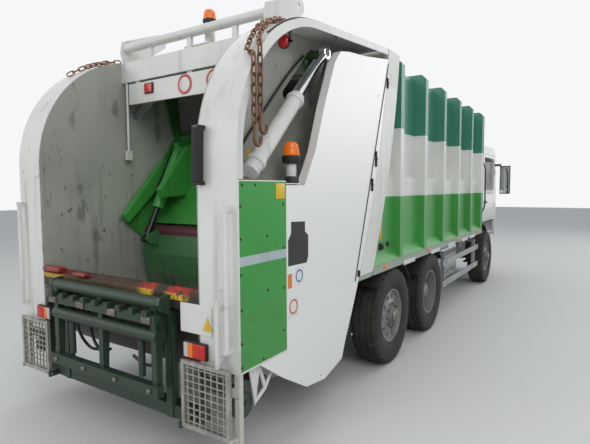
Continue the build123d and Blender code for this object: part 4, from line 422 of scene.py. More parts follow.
@dataclass(frozen=True)
class TroughSteel(Stuff):
    """Scoured plate of the trough with worn red and yellow paint on its sill."""

    sill_z: float = 1.165
    sill_x: float = -4.36
    yellow_z: float = 1.205

    def make(self, tree: Pattern) -> bpy.types.Material:
        """Bare and rusty plate, with paint left on the sill, most at its ends.

        Args:
            tree: Empty tree of the material.

        Returns:
            The finished material.
        """
        spots = tree.noise(34, 6)
        grain = tree.grain(4, 6, 90, 6)
        rust = tree.noise(2.4, 7).rise(0.42, 0.7)
        stripes = tree.coats(Tone.RED, (tree.z < self.yellow_z, Tone.YELLOW))
        on_sill = (tree.z > self.sill_z) * (tree.x < self.sill_x)
        left = tree.noise(5, 8).rise(0.66, 0.50) * tree.noise(17, 8).rise(0.70, 0.5)
        ends = tree.y.rise(-0.28, -0.40) * 0.92 + tree.y.rise(0.55, 0.70) * 0.5 + 0.08
        kept = left * on_sill * ends
        return tree.finish(
            Base_Color=tree.coats(
                self.tone, (grain.rise(0.3, 0.7) * 0.4, Tone.SOOT), (rust * 0.7, Tone.DARK_RUST),
                (kept * 0.9, stripes),
            ),
            Roughness=spots * 0.25 + 0.38,
            Metallic=(1.0 - kept) * (1.0 - rust * 0.7) * 0.7,
            Normal=tree.bump(spots * 0.6 + grain * 0.4, 0.0015, 0.7),
        )


@dataclass(frozen=True)
class Metal(Stuff):
    """Bare, rolled or rusty steel."""

    rust: float = 0.3
    roughness: float = 0.42
    metallic: float = 0.9
    grain: Triple = (14.0, 14.0, 14.0)

    def make(self, tree: Pattern) -> bpy.types.Material:
        """Grained metal with patches of rust.

        Args:
            tree: Empty tree of the material.

        Returns:
            The finished material.
        """
        spread = 0.3 * self.rust
        patches = tree.noise(2.6, 7).rise(0.62 - spread, 0.86 - spread)
        eaten = patches * min(1.0, self.rust * 1.6)
        spots = tree.noise(41, 6)
        grain = tree.grain(4, *self.grain)
        oxide = tree.coats(Tone.RUST, (spots.rise(0.4, 0.65), Tone.DARK_RUST))
        return tree.finish(
            Base_Color=tree.coats(
                self.tone, (grain.rise(0.3, 0.7) * 0.35, Tone.SOOT), (eaten, oxide)
            ),
            Roughness=(grain - 0.5) * 0.2 + self.roughness + patches * 0.35,
            Metallic=(1.0 - eaten) * self.metallic,
            Normal=tree.bump(spots * patches + grain * 0.2, 0.0012, 0.6),
        )


@dataclass(frozen=True)
class Moulded(Stuff):
    """Plastic or rubber with a fine grain and dust."""

    dust: float = 0.35
    roughness: float = 0.6
    grain: float = 320.0

    def make(self, tree: Pattern) -> bpy.types.Material:
        """Pored surface with dust that thins out upwards.

        Args:
            tree: Empty tree of the material.

        Returns:
            The finished material.
        """
        pores = tree.cells(self.grain)
        settle = tree.noise(4.2, 7).rise(0.42, 0.74) * tree.z.rise(2.6, 0.2) * self.dust
        cloud = tree.noise(1.4, 3) * 0.3
        return tree.finish(
            Base_Color=tree.coats(self.tone, (cloud, Tone.SOOT), (settle, Tone.GRIME)),
            Roughness=settle * 0.35 + self.roughness + (pores - 0.5) * 0.08,
            Normal=tree.bump(pores, 0.0004, 0.35),
        )


@dataclass(frozen=True)
class Lens(Stuff):
    """Lamp lens of coloured plastic with prisms inside."""

    glow: float = 0.06
    prisms: float = 90.0

    def make(self, tree: Pattern) -> bpy.types.Material:
        """Prisms across the height and width, under a film of grime.

        Args:
            tree: Empty tree of the material.

        Returns:
            The finished material.
        """
        waves = [abs((along * self.prisms).fraction() - 0.5) for along in (tree.z, tree.y)]
        prisms = (waves[0] + waves[1]) * 0.7
        film = tree.noise(7, 6).rise(0.5, 0.8) * 0.35
        shade = tree.coats(
            self.tone, (prisms.rise(0.2, 0.7) * 0.45, Tone.SOOT), (film, Tone.GRIME)
        )
        return tree.finish(
            Base_Color=shade,
            Roughness=tree.noise(22, 4) * 0.22 + 0.1,
            Emission_Color=shade,
            Emission_Strength=self.glow,
            Normal=tree.bump(prisms, 0.001, 0.5),
        )


@dataclass(frozen=True)
class Pane(Stuff):
    """Window glass."""

    alpha: float = 0.42

    def make(self, tree: Pattern) -> bpy.types.Material:
        """Smeared, tinted glass.

        Args:
            tree: Empty tree of the material.

        Returns:
            The finished material.
        """
        smear = tree.noise(2.2, 5).rise(0.45, 0.8)
        return tree.finish(
            Base_Color=tree.coats(self.tone, (smear * 0.25, Tone.GRIME)),
            Roughness=smear * 0.12 + 0.03, Alpha=smear * 0.1 + self.alpha,
        )


@dataclass(frozen=True)
class Mirror(Stuff):
    """Silvered glass."""

    def make(self, tree: Pattern) -> bpy.types.Material:
        """Hazy mirror.

        Args:
            tree: Empty tree of the material.

        Returns:
            The finished material.
        """
        haze = tree.noise(5, 5).rise(0.5, 0.9)
        return tree.finish(
            Base_Color=tree.coats(self.tone, (haze * 0.2, Tone.GRIME)),
            Roughness=haze * 0.1 + 0.03, Metallic=1.0,
        )


class Finish(Enum):
    """Every finish of the truck."""

    WHITE = Paint("white_paint", Tone.WHITE, grime=0.5, chips=0.4)
    CAB_WHITE = Paint("cab_white", Tone.WHITE, grime=0.2, chips=0.1, roughness=0.26)
    BODY = Paint(
        "body_bands", Tone.PALE_GREEN, grime=0.4, chips=0.25,
        bands=((1.142, Tone.BRIGHT_GREEN), (1.82, Tone.WHITE), (2.56, Tone.TEAL)),
    )
    FRAME = Paint(
        "frame_bands", Tone.PALE_GREEN, bands=((1.10, Tone.WHITE), (2.95, Tone.OLD_WHITE))
    )
    PALE = Paint("pale_green_paint", Tone.PALE_GREEN, grime=0.55)
    COVER = Paint(
        "cover_white", Tone.WHITE, grime=0.42, chips=0.25,
        bands=((1.11, Tone.OLD_WHITE), (1.19, Tone.WHITE)),
    )
    PANEL = Paint(
        "green_panel_paint", Tone.PANEL_GREEN, grime=0.4, chips=0.35,
        bands=((1.43, Tone.STRIPE), (1.49, Tone.PANEL_GREEN)),
    )
    DARK = Paint("dark_green_paint", Tone.DARK_GREEN, grime=0.5, chips=0.7, roughness=0.5)
    POSTS = FramePaint("rear_frame_paint", Tone.DARK_GREEN, grime=0.6, chips=0.8, roughness=0.5)
    GUARD = Paint("guard_paint", Tone.GUARD, grime=0.9, high=2.4)
    ARM = ShadedArmPaint(
        "arm_green_paint", Tone.ARM_GREEN, Tone.SOOT, grime=0.55, chips=0.8, low=1, high=3.4
    )
    BLADE = BladePaint(
        "blade_green_paint", Tone.BLADE_GREEN, Tone.SOOT, grime=0.8, chips=1.0, high=5
    )
    WALLS = WallPaint("wall_white", Tone.WHITE, grime=0.55, chips=0.5)
    BEAM = Paint("beam_white", Tone.WHITE, grime=0.6, chips=0.5, high=4.6)
    ROOF = Paint("roof_paint", Tone.OLD_WHITE, grime=0.8, high=6)
    CHASSIS = Paint("chassis_paint", Tone.SOOT, grime=0.8, chips=0.4, roughness=0.6)
    RIM = Paint("rim_paint", Tone.GREY, grime=0.9, chips=0.5, high=2.0)
    SCOURED = TroughSteel("scoured_trough", Tone.DARK_STEEL)
    TROUGH = Metal("scoured_steel", Tone.DARK_STEEL, rust=0.6, roughness=0.5, grain=(6, 120, 6))
    CHAIN = Metal("chain_rust", Tone.SOOT, rust=0.34, roughness=0.6, metallic=0.5)
    MESH = Metal("galvanised", Tone.ZINC, rust=0.12, roughness=0.5, metallic=0.55)
    IRON = Metal("cast_iron", Tone.SOOT, rust=0.35, roughness=0.7, metallic=0.5)
    ALLOY = Metal("tank_alloy", Tone.CHROME, rust=0.0, roughness=0.34, grain=(3, 60, 60))
    ROD = Metal("rod_chrome", Tone.ZINC, rust=0.05, metallic=0.85)
    BOLT = Metal("bolt_steel", Tone.STEEL, rust=0.4, roughness=0.4)
    BLACK = Moulded("black_plastic", Tone.BLACK)
    SATIN_BLACK = Moulded("black_gloss", Tone.BLACK, dust=0.2, roughness=0.3)
    RUBBER = Moulded("rubber", Tone.RUBBER, dust=0.55, roughness=0.78, grain=180)
    FABRIC = Moulded("seat_cloth", Tone.FABRIC, dust=0.1, roughness=0.9, grain=600)
    DASH = Moulded("dash_plastic", Tone.SOOT, dust=0.1, roughness=0.55)
    RED_LENS = Lens("red_lens", Tone.RED)
    AMBER_LENS = Lens("amber_lens", Tone.AMBER, 0.12)
    CLEAR_LENS = Lens("clear_lens", Tone.CHROME, 0.02)
    YELLOW = Paint("yellow_marker", Tone.YELLOW, grime=0.3)
    SIGN_WHITE = Paint("sign_white", Tone.WHITE, grime=0.25, chips=0.1, high=6)
    SIGN_RED = Paint("sign_red", Tone.RED, grime=0.3, high=6)
    FLAP = Paint("flap_red", Tone.WORN_RED, grime=0.9, chips=0.8, high=6)
    SIGN_BLACK = Paint("sign_black", Tone.BLACK, grime=0.3, chips=0.2, high=6)
    SIGN_BLUE = Paint("sign_blue", Tone.BLUE, grime=0.3, chips=0.2)
    SIGN_ORANGE = Paint("sign_orange", Tone.ORANGE, grime=0.3, chips=0.2)
    GLASS = Pane("tinted_glass", Tone.GLASS)
    MIRROR = Mirror("mirror_glass", Tone.SILVER)

    @property
    def material(self) -> bpy.types.Material:
        """The finish's material, made on first use."""
        name = self.value.name
        return bpy.data.materials.get(name) or self.value.make(Pattern(name))


WHEELS = tuple(f"{axle}_{side}" for axle in ("front", "drive", "tag") for side, _ in SIDES)

NODE_FINISH: dict[Finish, tuple[str, ...]] = {
    Finish.CHASSIS: ("chassis_frame", "front_axle", "drive_axle", "tag_axle", "suspension",
                     "knuckle_right", "knuckle_left"),
    Finish.IRON: ("driveline",),
    Finish.ALLOY: ("fuel_tank",),
    Finish.BLACK: ("battery_box", "mudguards", "mirrors"),
    Finish.GUARD: ("side_guards",),
    Finish.WHITE: ("tailgate_roof", "handrails", "carriage_cylinders"),
    Finish.COVER: ("side_covers",),
    Finish.WALLS: ("tailgate_sides",),
    Finish.BEAM: ("portal",),
    Finish.CAB_WHITE: ("bumper", "cab_shell", "cab_front", "door_right", "door_left"),
    Finish.PALE: ("body_floor",),
    Finish.BODY: ("body_sides", "body_front_wall"),
    Finish.ROOF: ("body_roof",),
    Finish.FRAME: ("body_rear_frame",),
    Finish.PANEL: ("side_panels",),
    Finish.SCOURED: ("hopper_trough",),
    Finish.TROUGH: ("ejector_plate",),
    Finish.DARK: ("bin_lifter",),
    Finish.POSTS: ("lifter_frame",),
    Finish.ARM: ("carriage",),
    Finish.BLADE: ("blade",),
    Finish.CHAIN: ("chains",),
    Finish.MESH: ("step_right", "step_left"),
    Finish.ROD: ("carriage_rods", "lift_ram_rods"),
    Finish.SATIN_BLACK: ("lift_ram_barrels", "blade_rods"),
    Finish.RED_LENS: ("lamps",),
    Finish.GLASS: ("windscreen",),
    Finish.FABRIC: ("seats",),
    Finish.DASH: ("dashboard",),
    Finish.RUBBER: tuple(f"tyre_{wheel}" for wheel in WHEELS),
    Finish.RIM: tuple(f"rim_{wheel}" for wheel in WHEELS),
}


def clear() -> None:
    """Leaves edit mode and deselects everything."""
    if bpy.context.object is not None and bpy.context.object.mode != "OBJECT":
        bpy.ops.object.mode_set(mode="OBJECT")
    bpy.ops.object.select_all(action="DESELECT")


def hold(piece: Piece) -> None:
    """Selects one piece alone and makes it the active one.

    Args:
        piece: Object to select.
    """
    clear()
    piece.select_set(True)
    bpy.context.view_layer.objects.active = piece


def settle() -> Piece:
    """Puts the new object's place, turn and scale into its mesh.

    Returns:
        The piece.
    """
    piece = bpy.context.object
    hold(piece)
    bpy.ops.object.transform_apply(location=True, rotation=True, scale=True)
    return piece


def bevel(piece: Piece, **settings: Any) -> Piece:
    """Rounds a piece's edges with a modifier of these settings, and applies it.

    Args:
        piece: Object to change.
        **settings: The modifier's properties.

    Returns:
        The piece.
    """
    hold(piece)
    modifier = piece.modifiers.new("bevel", "BEVEL")
    for name, value in settings.items():
        setattr(modifier, name, value)
    bpy.ops.object.modifier_apply(modifier=modifier.name)
    return piece


def pick(piece: Piece, kind: str, test: Callable[[Any], bool] = lambda item: True) -> None:
    """Enters edit mode with the elements that pass a test selected.

    Args:
        piece: Object to edit.
        kind: FACE, EDGE or VERT.
        test: Says whether an element is taken, all if left out.
    """
    hold(piece)
    bpy.ops.object.mode_set(mode="EDIT")
    bpy.ops.mesh.select_mode(type=kind)
    bpy.ops.mesh.select_all(action="DESELECT")
    mesh = bmesh.from_edit_mesh(piece.data)
    for item in {"FACE": mesh.faces, "EDGE": mesh.edges, "VERT": mesh.verts}[kind]:
        if test(item):
            item.select_set(True)
    mesh.select_flush_mode()
    bmesh.update_edit_mesh(piece.data)


def mend(piece: Piece) -> Piece:
    """Merges doubles, drops loose edges and turns the normals outwards.

    Args:
        piece: Object to change.

    Returns:
        The piece.
    """
    pick(piece, "VERT")
    bpy.ops.mesh.remove_doubles(threshold=MERGE)
    bpy.ops.mesh.delete_loose(use_faces=False)
    bpy.ops.mesh.select_all(action="SELECT")
    bpy.ops.mesh.normals_make_consistent(inside=False)
    bpy.ops.object.mode_set(mode="OBJECT")
    return piece


def block(low: Sequence[float], high: Sequence[float], edge: float = 0.004) -> Piece:
    """Box between two corners with rounded edges.

    Args:
        low: Lowest corner.
        high: Highest corner.
        edge: Width of the rounded edges.

    Returns:
        The box.
    """
    clear()
    first, last = Vector(low), Vector(high)
    bpy.ops.mesh.primitive_cube_add(size=1, location=(first + last) / 2, scale=last - first)
    return bevel(settle(), width=edge, segments=2)


def bar(
    start: Sequence[float], end: Sequence[float], radius: float, tip: float = 0.0, sides: int = 20
) -> Piece:
    """Round bar or cone with chamfered ends.

    Args:
        start: Middle of the first end.
        end: Middle of the other end.
        radius: Radius at the start.
        tip: Radius at the end, the same if left out.
        sides: Corners of the section.

    Returns:
        The bar.
    """
    clear()
    first, last = Vector(start), Vector(end)
    run = last - first
    bpy.ops.mesh.primitive_cone_add(
        vertices=sides, radius1=radius, radius2=tip or radius, depth=run.length,
        location=(first + last) / 2, rotation=run.to_track_quat("Z", "Y").to_euler(),
    )
    width = min(radius * 0.14, run.length * 0.2)
    return bevel(settle(), width=width, segments=1, angle_limit=BAR_CORNER)


def plate(
    outline: Sequence[Pair], plane: str, low: float, high: float, edge: float = 0.002
) -> Piece:
    """Plate of an outline, extruded square to its plane.

    Args:
        outline: Corners in the plane's two coordinates.
        plane: XZ or YZ.
        low: Place of the first face.
        high: Place of the other face.
        edge: Width of the chamfered edges.

    Returns:
        The plate.
    """
    clear()
    bpy.ops.mesh.primitive_circle_add(vertices=len(outline), fill_type="NGON")
    piece = bpy.context.object
    for vertex, (a, b) in zip(piece.data.vertices, outline):
        vertex.co = {"XZ": (a, low, b), "YZ": (low, a, b)}[plane]
    step = high - low
    pick(piece, "FACE")
    move = {"XZ": (0, step, 0), "YZ": (step, 0, 0)}[plane]
    bpy.ops.mesh.extrude_region_move(TRANSFORM_OT_translate={"value": move})
    return bevel(mend(piece), width=edge, segments=1, angle_limit=PLATE_CORNER)


def turned(section: Sequence[Pair], centre: Sequence[float], axis: str, steps: int = 32) -> Piece:
    """Closed section turned about an axis.

    Args:
        section: Places along the axis and radii.
        centre: Point on the axis that the places count from.
        axis: X, Y or Z.
        steps: Steps of the full turn.

    Returns:
        The turned piece.
    """
    clear()
    bpy.ops.mesh.primitive_circle_add(vertices=len(section), fill_type="NOTHING")
    piece = bpy.context.object
    middle = Vector(centre)
    for vertex, (along, radius) in zip(piece.data.vertices, section):
        spot = {"X": (along, 0, radius), "Y": (0, along, radius), "Z": (radius, 0, along)}[axis]
        vertex.co = middle + Vector(spot)
    pick(piece, "EDGE")
    bpy.ops.mesh.spin(steps=steps, angle=2 * math.pi, center=middle, axis=AXES[axis])
    return mend(piece)


def pipe(points: Sequence[Sequence[float]], radius: float) -> Piece:
    """Bent pipe of a radius that goes by these points.

    Args:
        points: Places that steer the pipe's middle.
        radius: Radius of the pipe.

    Returns:
        The pipe as a mesh.
    """
    clear()
    curve = bpy.data.curves.new("pipe", "CURVE")
    curve.dimensions = "3D"
    curve.bevel_depth = radius
    curve.bevel_resolution = 2
    curve.resolution_u = 6
    curve.use_fill_caps = True
    line = curve.splines.new("NURBS")
    line.points.add(len(points) - 1)
    for point, spot in zip(line.points, points):
        point.co = (*spot, 1.0)
    line.order_u = 3
    line.use_endpoint_u = True
    piece = bpy.data.objects.new("pipe", curve)
    bpy.context.scene.collection.objects.link(piece)
    hold(piece)
    bpy.ops.object.convert(target="MESH")
    return mend(bpy.context.object)


def join(pieces: Sequence[Piece]) -> Piece:
    """Joins pieces into the first one.

    Args:
        pieces: Objects to join.

    Returns:
        The first one, with all in it.
    """
    hold(pieces[0])
    for piece in pieces[1:]:
        piece.select_set(True)
    if len(pieces) > 1:
        bpy.ops.object.join()
    return pieces[0]


def twin(piece: Piece, place: Matrix) -> Piece:
    """Copy of a piece with its own mesh, moved by a matrix.

    Args:
        piece: Object to copy.
        place: Move, turn or mirror matrix.

    Returns:
        The copy.
    """
    other = piece.copy()
    other.data = piece.data.copy()
    other.data.transform(place)
    if place.determinant() < 0:
        other.data.flip_normals()
    bpy.context.scene.collection.objects.link(other)
    return other


def repeat(piece: Piece, places: Iterable[Matrix]) -> Piece:
    """Copies a pattern piece to each place, joined into one piece.

    Args:
        piece: Pattern at the origin, which goes.
        places: Matrix of each copy.

    Returns:
        The joined copies.
    """
    made = [twin(piece, place) for place in places]
    bpy.data.objects.remove(piece, do_unlink=True)
    return join(made)


def shift(x: float, y: float, z: float) -> Matrix:
    """Move along the truck's axes."""
    return Matrix.Translation((x, y, z))


def polar(turn: float, reach: float) -> Pair:
    """Place on a circle, from the turn in radians and the radius."""
    return reach * math.cos(turn), reach * math.sin(turn)


def circle(count: int, reach: float, start: float = 0.0) -> Iterator[Pair]:
    """Places evenly spread on a circle, the first one a share of a step round."""
    for n in range(count):
        yield polar(2 * math.pi * (n + start) / count, reach)


@dataclass(frozen=True)
class Studio:
    """Pale floor, soft lamps, white surroundings and the camera of the picture."""

    camera_place: Triple = (-6.67, -3.04, 1.90)
    right: Triple = (0.5444, -0.8388, -0.0049)
    up: Triple = (0.0617, 0.0342, 0.9975)
    back: Triple = (-0.8366, -0.5433, 0.0704)
    lens: float = 28.13
    floor_size: float = 90.0
    daylight: float = 0.52

    def build(self) -> None:
        """Sets up everything that isn't the truck."""
        self.add_floor()
        self.add_world()
        self.add_lamps()
        self.add_camera()
        bpy.context.scene.view_settings.view_transform = "Standard"

    def add_floor(self) -> None:
        """Pale matt floor that looks white far away."""
        clear()
        bpy.ops.mesh.primitive_plane_add(size=self.floor_size)
        floor = bpy.context.object
        floor.name = "studio_floor"
        tree = Pattern("studio_floor")
        shade = tree.coats(srgb(214, 214, 212), (tree.noise(0.4, 4) * 0.12, srgb(196, 196, 194)))
        floor.data.materials.append(tree.finish(Base_Color=shade, Roughness=0.85))

    def add_world(self) -> None:
        """White to the camera, in reflections and through glass, softer as a light."""
        tree = Tree(bpy.data.worlds.new("studio"))
        bpy.context.scene.world = tree.owner
        rays = tree.node("ShaderNodeLightPath", {}, {})
        seen = rays["Is Camera Ray"] | rays["Is Transmission Ray"] | rays["Is Glossy Ray"]
        soft = {0: srgb(236, 241, 248), 1: self.daylight}
        white = {0: srgb(246, 247, 248)}
        lights = [tree.node("ShaderNodeBackground", {}, values)[0] for values in (soft, white)]
        mix = tree.node("ShaderNodeMixShader", {}, {0: seen, 1: lights[0], 2: lights[1]})
        tree.node("ShaderNodeOutputWorld", {}, {0: mix[0]})

    def add_lamps(self) -> None:
        """One large key, a fill from behind, one in front and a soft top."""
        for name, place, aim, power, size in (
            ("key", (-10.0, -9.0, 8.5), (-2.0, 0.0, 1.4), 560.0, 8.0),
            ("fill", (-12.0, 6.0, 5.0), (-3.5, 0.0, 1.6), 260.0, 6.0),
            ("front", (12.0, -8.0, 7.0), (3.0, 0.0, 1.4), 290.0, 7.0),
            ("top", (0.0, 0.0, 11.0), (0.0, 0.0, 0.0), 340.0, 10.0),
        ):
            clear()
            bpy.ops.object.light_add(type="AREA", location=place)
            lamp = bpy.context.object
            lamp.name = f"studio_{name}"
            lamp.data.energy = power
            lamp.data.size = size
            ray = Vector(aim) - Vector(place)
            lamp.rotation_euler = ray.to_track_quat("-Z", "Y").to_euler()

    def add_camera(self) -> None:
        """Camera where the picture was taken from."""
        data = bpy.data.cameras.new("picture_camera")
        data.lens = self.lens
        data.clip_start = 0.05
        data.clip_end = 200.0
        camera = bpy.data.objects.new("picture_camera", data)
        bpy.context.scene.collection.objects.link(camera)
        turn = Matrix((self.right, self.up, self.back)).transposed()
        camera.matrix_world = Matrix.Translation(self.camera_place) @ turn.to_4x4()
        bpy.context.scene.camera = camera


class Assembly:
    """Sub-assembly whose pieces ride on one body, unless another is named."""

    home = "tailgate"

    def build(self) -> None:
        """Builds every piece of the sub-assembly."""
        raise NotImplementedError

    def seat(
        self, name: str, finish: Finish, *parts: Piece,
        both: bool = False, body: str = "", replaced: Sequence[str] = (),
    ) -> None:
        """Joins parts into a piece, dresses it and seats it on its body.

        Args:
            name: Plain name of the piece.
            finish: Its finish.
            *parts: Meshes that make it up.
            both: Whether its mirror image on the other side belongs to it.
            body: Body that it rides on, the sub-assembly's own if left out.
            replaced: Nodes that it stands for.
        """
        body = body or self.home
        piece = join(parts)
        if both:
            piece = join([piece, twin(piece, MIRRORED)])
        piece.name = piece.data.name = name
        hold(piece)
        bpy.ops.object.shade_smooth_by_angle(angle=SMOOTH_ANGLE)
        piece.data.materials.clear()
        piece.data.materials.append(finish.material)
        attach(piece, body)
        if replaced:
            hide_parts(*replaced)
        log.info("piece %s wears %s on %s", name, finish.name, body)


@dataclass(frozen=True)
class Axle:
    """One axle's wheels: name, station, tyre middles, and where nuts and cap sit."""

    name: str
    x: float
    middles: tuple[float, ...]
    nut_face: float
    nut_circle: float
    cap_face: float
    cap_radius: float
    blocks: bool = False


@dataclass(frozen=True)
class Wheels(Assembly):
    """Tyres with their tread, wheel nuts and hub caps."""

    radius: float = 0.522
    steps: int = 60
    groove: float = 0.982
    tread_floor: float = 0.497
    shoulder: float = 0.100
    rib: Pair = (0.046, 0.084)
    section: tuple[Pair, ...] = (
        (0.0, 0.5218), (0.030, 0.5218), (0.033, 0.511), (0.043, 0.511), (0.046, 0.5215),
        (0.084, 0.5205), (0.087, 0.510), (0.097, 0.5095), (0.100, 0.5195), (0.110, 0.518),
        (0.1295, 0.506), (0.1365, 0.490), (0.1425, 0.466), (0.1470, 0.430), (0.1473, 0.395),
        (0.1435, 0.360), (0.131, 0.318), (0.1185, 0.300), (0.118, 0.2866),
    )
    axles: tuple[Axle, ...] = (
        Axle("front", 3.25, (1.1025,), 0.112, 0.130, 0.148, 0.080),
        Axle("drive", -0.55, (1.1025, 0.7675), -0.143, 0.180, 0.05, 0.098, True),
        Axle("tag", -1.93, (1.1025,), 0.112, 0.130, 0.148, 0.080),
    )

    def build(self) -> None:
        """Builds the tyres and hubs of every wheel."""
        tyres = {blocks: self.tyre(blocks) for blocks in (False, True)}
        nut = self.nut()
        for axle in self.axles:
            for side, sign in SIDES:
                wheel = f"{axle.name}_{side}"
                body, node = f"wheel_{wheel}", f"tyre_{wheel}"
                treads = [
                    twin(tyres[axle.blocks], shift(axle.x, sign * middle, self.radius))
                    for middle in axle.middles
                ]
                self.seat(f"{node}_tread", Finish.RUBBER, *treads, body=body, replaced=(node,))
                self.seat(f"hub_{wheel}", Finish.BOLT, self.hub(axle, sign, nut), body=body)
        for pattern in (*tyres.values(), nut):
            bpy.data.objects.remove(pattern, do_unlink=True)

    def tyre(self, blocks: bool) -> Piece:
        """Tyre at the origin, its axle along Y.

        Args:
            blocks: Whether the ribs are cut into blocks, as on a drive axle.

        Returns:
            The tyre.
        """
        half = list(self.section)
        ring = half[::-1] + [(-along, radius) for along, radius in half[1:]]
        piece = turned(ring, (0, 0, 0), "Y", self.steps)
        turn = 2 * math.pi / self.steps

        def cut(face: Any) -> bool:
            """Whether a face of the tread lies in a cross groove.

            Args:
                face: Face of the tyre.

            Returns:
                True for a face that is pressed in.
            """
            spot = face.calc_center_median()
            if math.hypot(spot.x, spot.z) < self.tread_floor:
                return False
            index = int(math.floor(math.atan2(spot.z, spot.x) / turn))
            side = abs(spot.y)
            if side > self.shoulder:
                return index % 2 == 0
            on_rib = self.rib[0] < side < self.rib[1]
            return blocks and on_rib and (index + (1 if spot.y > 0 else 0)) % 3 == 0

        pick(piece, "FACE", cut)
        bpy.ops.mesh.extrude_region_move()
        bpy.ops.transform.resize(
            value=(self.groove, 1, self.groove), center_override=(0.0, 0.0, 0.0)
        )
        bpy.ops.object.mode_set(mode="OBJECT")
        return piece

    def nut(self) -> Piece:
        """Wheel nut on its stud at the origin, pointing to the right.

        Returns:
            The nut and its stud.
        """
        hexagon = bar((0, 0.004, 0), (0, -0.020, 0), 0.0175, 0.0165, 6)
        stud = bar((0, -0.018, 0), (0, -0.034, 0), 0.0105, sides=8)
        return join([hexagon, stud])

    def hub(self, axle: Axle, sign: int, nut: Piece) -> Piece:
        """Nuts and hub cap of one wheel.

        Args:
            axle: Axle of the wheel.
            sign: Side, -1 on the right.
            nut: Nut at the origin.

        Returns:
            The joined piece.
        """
        face = -(axle.middles[0] + axle.nut_face)
        cap = -(axle.middles[0] + axle.cap_face)
        wide = axle.cap_radius
        parts = [
            twin(nut, shift(axle.x + x, face, self.radius + z))
            for x, z in circle(10, axle.nut_circle)
        ]
        parts.append(turned(
            ((0.0, 0.0), (0.0, wide), (-0.010, wide), (-0.016, wide * 0.86),
             (-0.026, wide * 0.80), (-0.034, wide * 0.5), (-0.036, 0.0)),
            (axle.x, cap, self.radius), "Y", 28,
        ))
        for x, z in circle(8, wide * 0.91, 0.5):
            x, z = axle.x + x, self.radius + z
            parts.append(bar((x, cap, z), (x, cap - 0.021, z), 0.008, sides=6))
        piece = join(parts)
        if sign > 0:
            piece.data.transform(MIRRORED)
            piece.data.flip_normals()
        return piece


@dataclass(frozen=True)
class Strand:
    """One chain strand: side, angles on the arch, lateral places, and where it hangs down."""

    side: int
    first: int
    last: int
    y0: float
    y1: float
    hang_x: float = 0.0
    hang_z: float = 0.0


@dataclass(frozen=True)
class Chains(Assembly):
    """Round wire chains draped over the arches, with their hooks."""

    arch: Pair = (-3.48, 2.10)
    radius: float = 1.0959
    pitch: float = 0.0611
    inner: float = 0.0626
    width: float = 0.046
    wire: float = 0.0125
    hang_y: float = 1.2759
    rise: float = 0.009
    hook_wire: float = 0.011
    bends: tuple[Pair, ...] = (
        (0, 0.02), (0, -0.03), (-0.005, -0.08), (0.03, -0.115), (0.07, -0.085), (0.066, -0.05)
    )
    strands: tuple[Strand, ...] = (
        Strand(-1, 99, 142, 0.940, 1.180, -4.405, 2.25),
        Strand(-1, 99, 135, 1.010, 1.205, -4.342, 2.33),
        Strand(1, 99, 130, 1.010, 1.130),
        Strand(1, 101, 120, 1.110, 1.080),
    )

    def build(self) -> None:
        """Builds the links and the hooks at the hanging ends."""
        places = [place for strand in self.strands for place in self.places(self.line(strand))]
        links = repeat(self.link(), places)
        self.seat("chain_links", Finish.CHAIN, links, replaced=("chains",))
        hooks = [self.hook(strand) for strand in self.strands if strand.hang_z]
        self.seat("chain_hooks", Finish.CHAIN, *hooks)

    def line(self, strand: Strand) -> list[Vector]:
        """Places that a strand's middle runs through.

        Args:
            strand: The strand.

        Returns:
            The places, a degree apart on the arch.
        """
        points = []
        for angle in range(strand.first, strand.last + 1):
            share = (angle - strand.first) / (strand.last - strand.first)
            reach = self.radius + (self.rise * share if strand.hang_z else 0.0)
            x, z = polar(math.radians(angle), reach)
            y = strand.side * (strand.y0 + (strand.y1 - strand.y0) * share)
            points.append(Vector((self.arch[0] + x, y, self.arch[1] + z)))
        if strand.hang_z:
            reach = self.radius + 2 * self.rise
            edge_z = self.arch[1] + math.sqrt(reach**2 - (strand.hang_x - self.arch[0]) ** 2)
            for z in (edge_z, strand.hang_z):
                points.append(Vector((strand.hang_x, strand.side * self.hang_y, z)))
        return points

    def places(self, points: Sequence[Vector]) -> list[Matrix]:
        """Places of the links along a line, each turned a quarter to the next.

        Args:
            points: Places that the line runs through.

        Returns:
            Matrix of each link.
        """
        joints = [points[0]]
        for start, end in zip(points, points[1:]):
            steps = round((end - start).length * 1000) + 1
            for n in range(1, steps + 1):
                reach = start.lerp(end, n / steps) - joints[-1]
                if reach.length >= self.pitch:
                    joints.append(joints[-1] + reach.normalized() * self.pitch)
        places = []
        for n, (start, end) in enumerate(zip(joints, joints[1:])):
            along = (end - start).normalized()
            across = (Vector((0, 1, 0)) - along * along.y).normalized()
            up = along.cross(across) if n % 2 else across
            turn = Matrix((along, up.cross(along), up)).transposed()
            places.append(Matrix.Translation((start + end) / 2) @ turn.to_4x4())
        return places

    def link(self) -> Piece:
        """One link at the origin, its length along X.

        Returns:
            The link.
        """
        clear()
        bpy.ops.mesh.primitive_torus_add(
            major_radius=(self.width - self.wire) / 2, minor_radius=self.wire / 2,
            major_segments=12, minor_segments=8,
        )
        piece = bpy.context.object
        stretch = (self.inner + self.wire - self.width + self.wire) / 2
        for sign in (-1, 1):
            pick(piece, "VERT", lambda vertex, sign=sign: vertex.co.x * sign > 0.001)
            bpy.ops.transform.translate(value=(sign * stretch, 0, 0))
        bpy.ops.object.mode_set(mode="OBJECT")
        return piece

    def hook(self, strand: Strand) -> Piece:
        """Open hook under the last link of a hanging strand.

        Args:
            strand: The strand that it hangs on.

        Returns:
            The hook.
        """
        x, y, z = strand.hang_x, strand.side * self.hang_y, strand.hang_z + 0.03
        return pipe([(x + a, y, z + b) for a, b in self.bends], self.hook_wire)


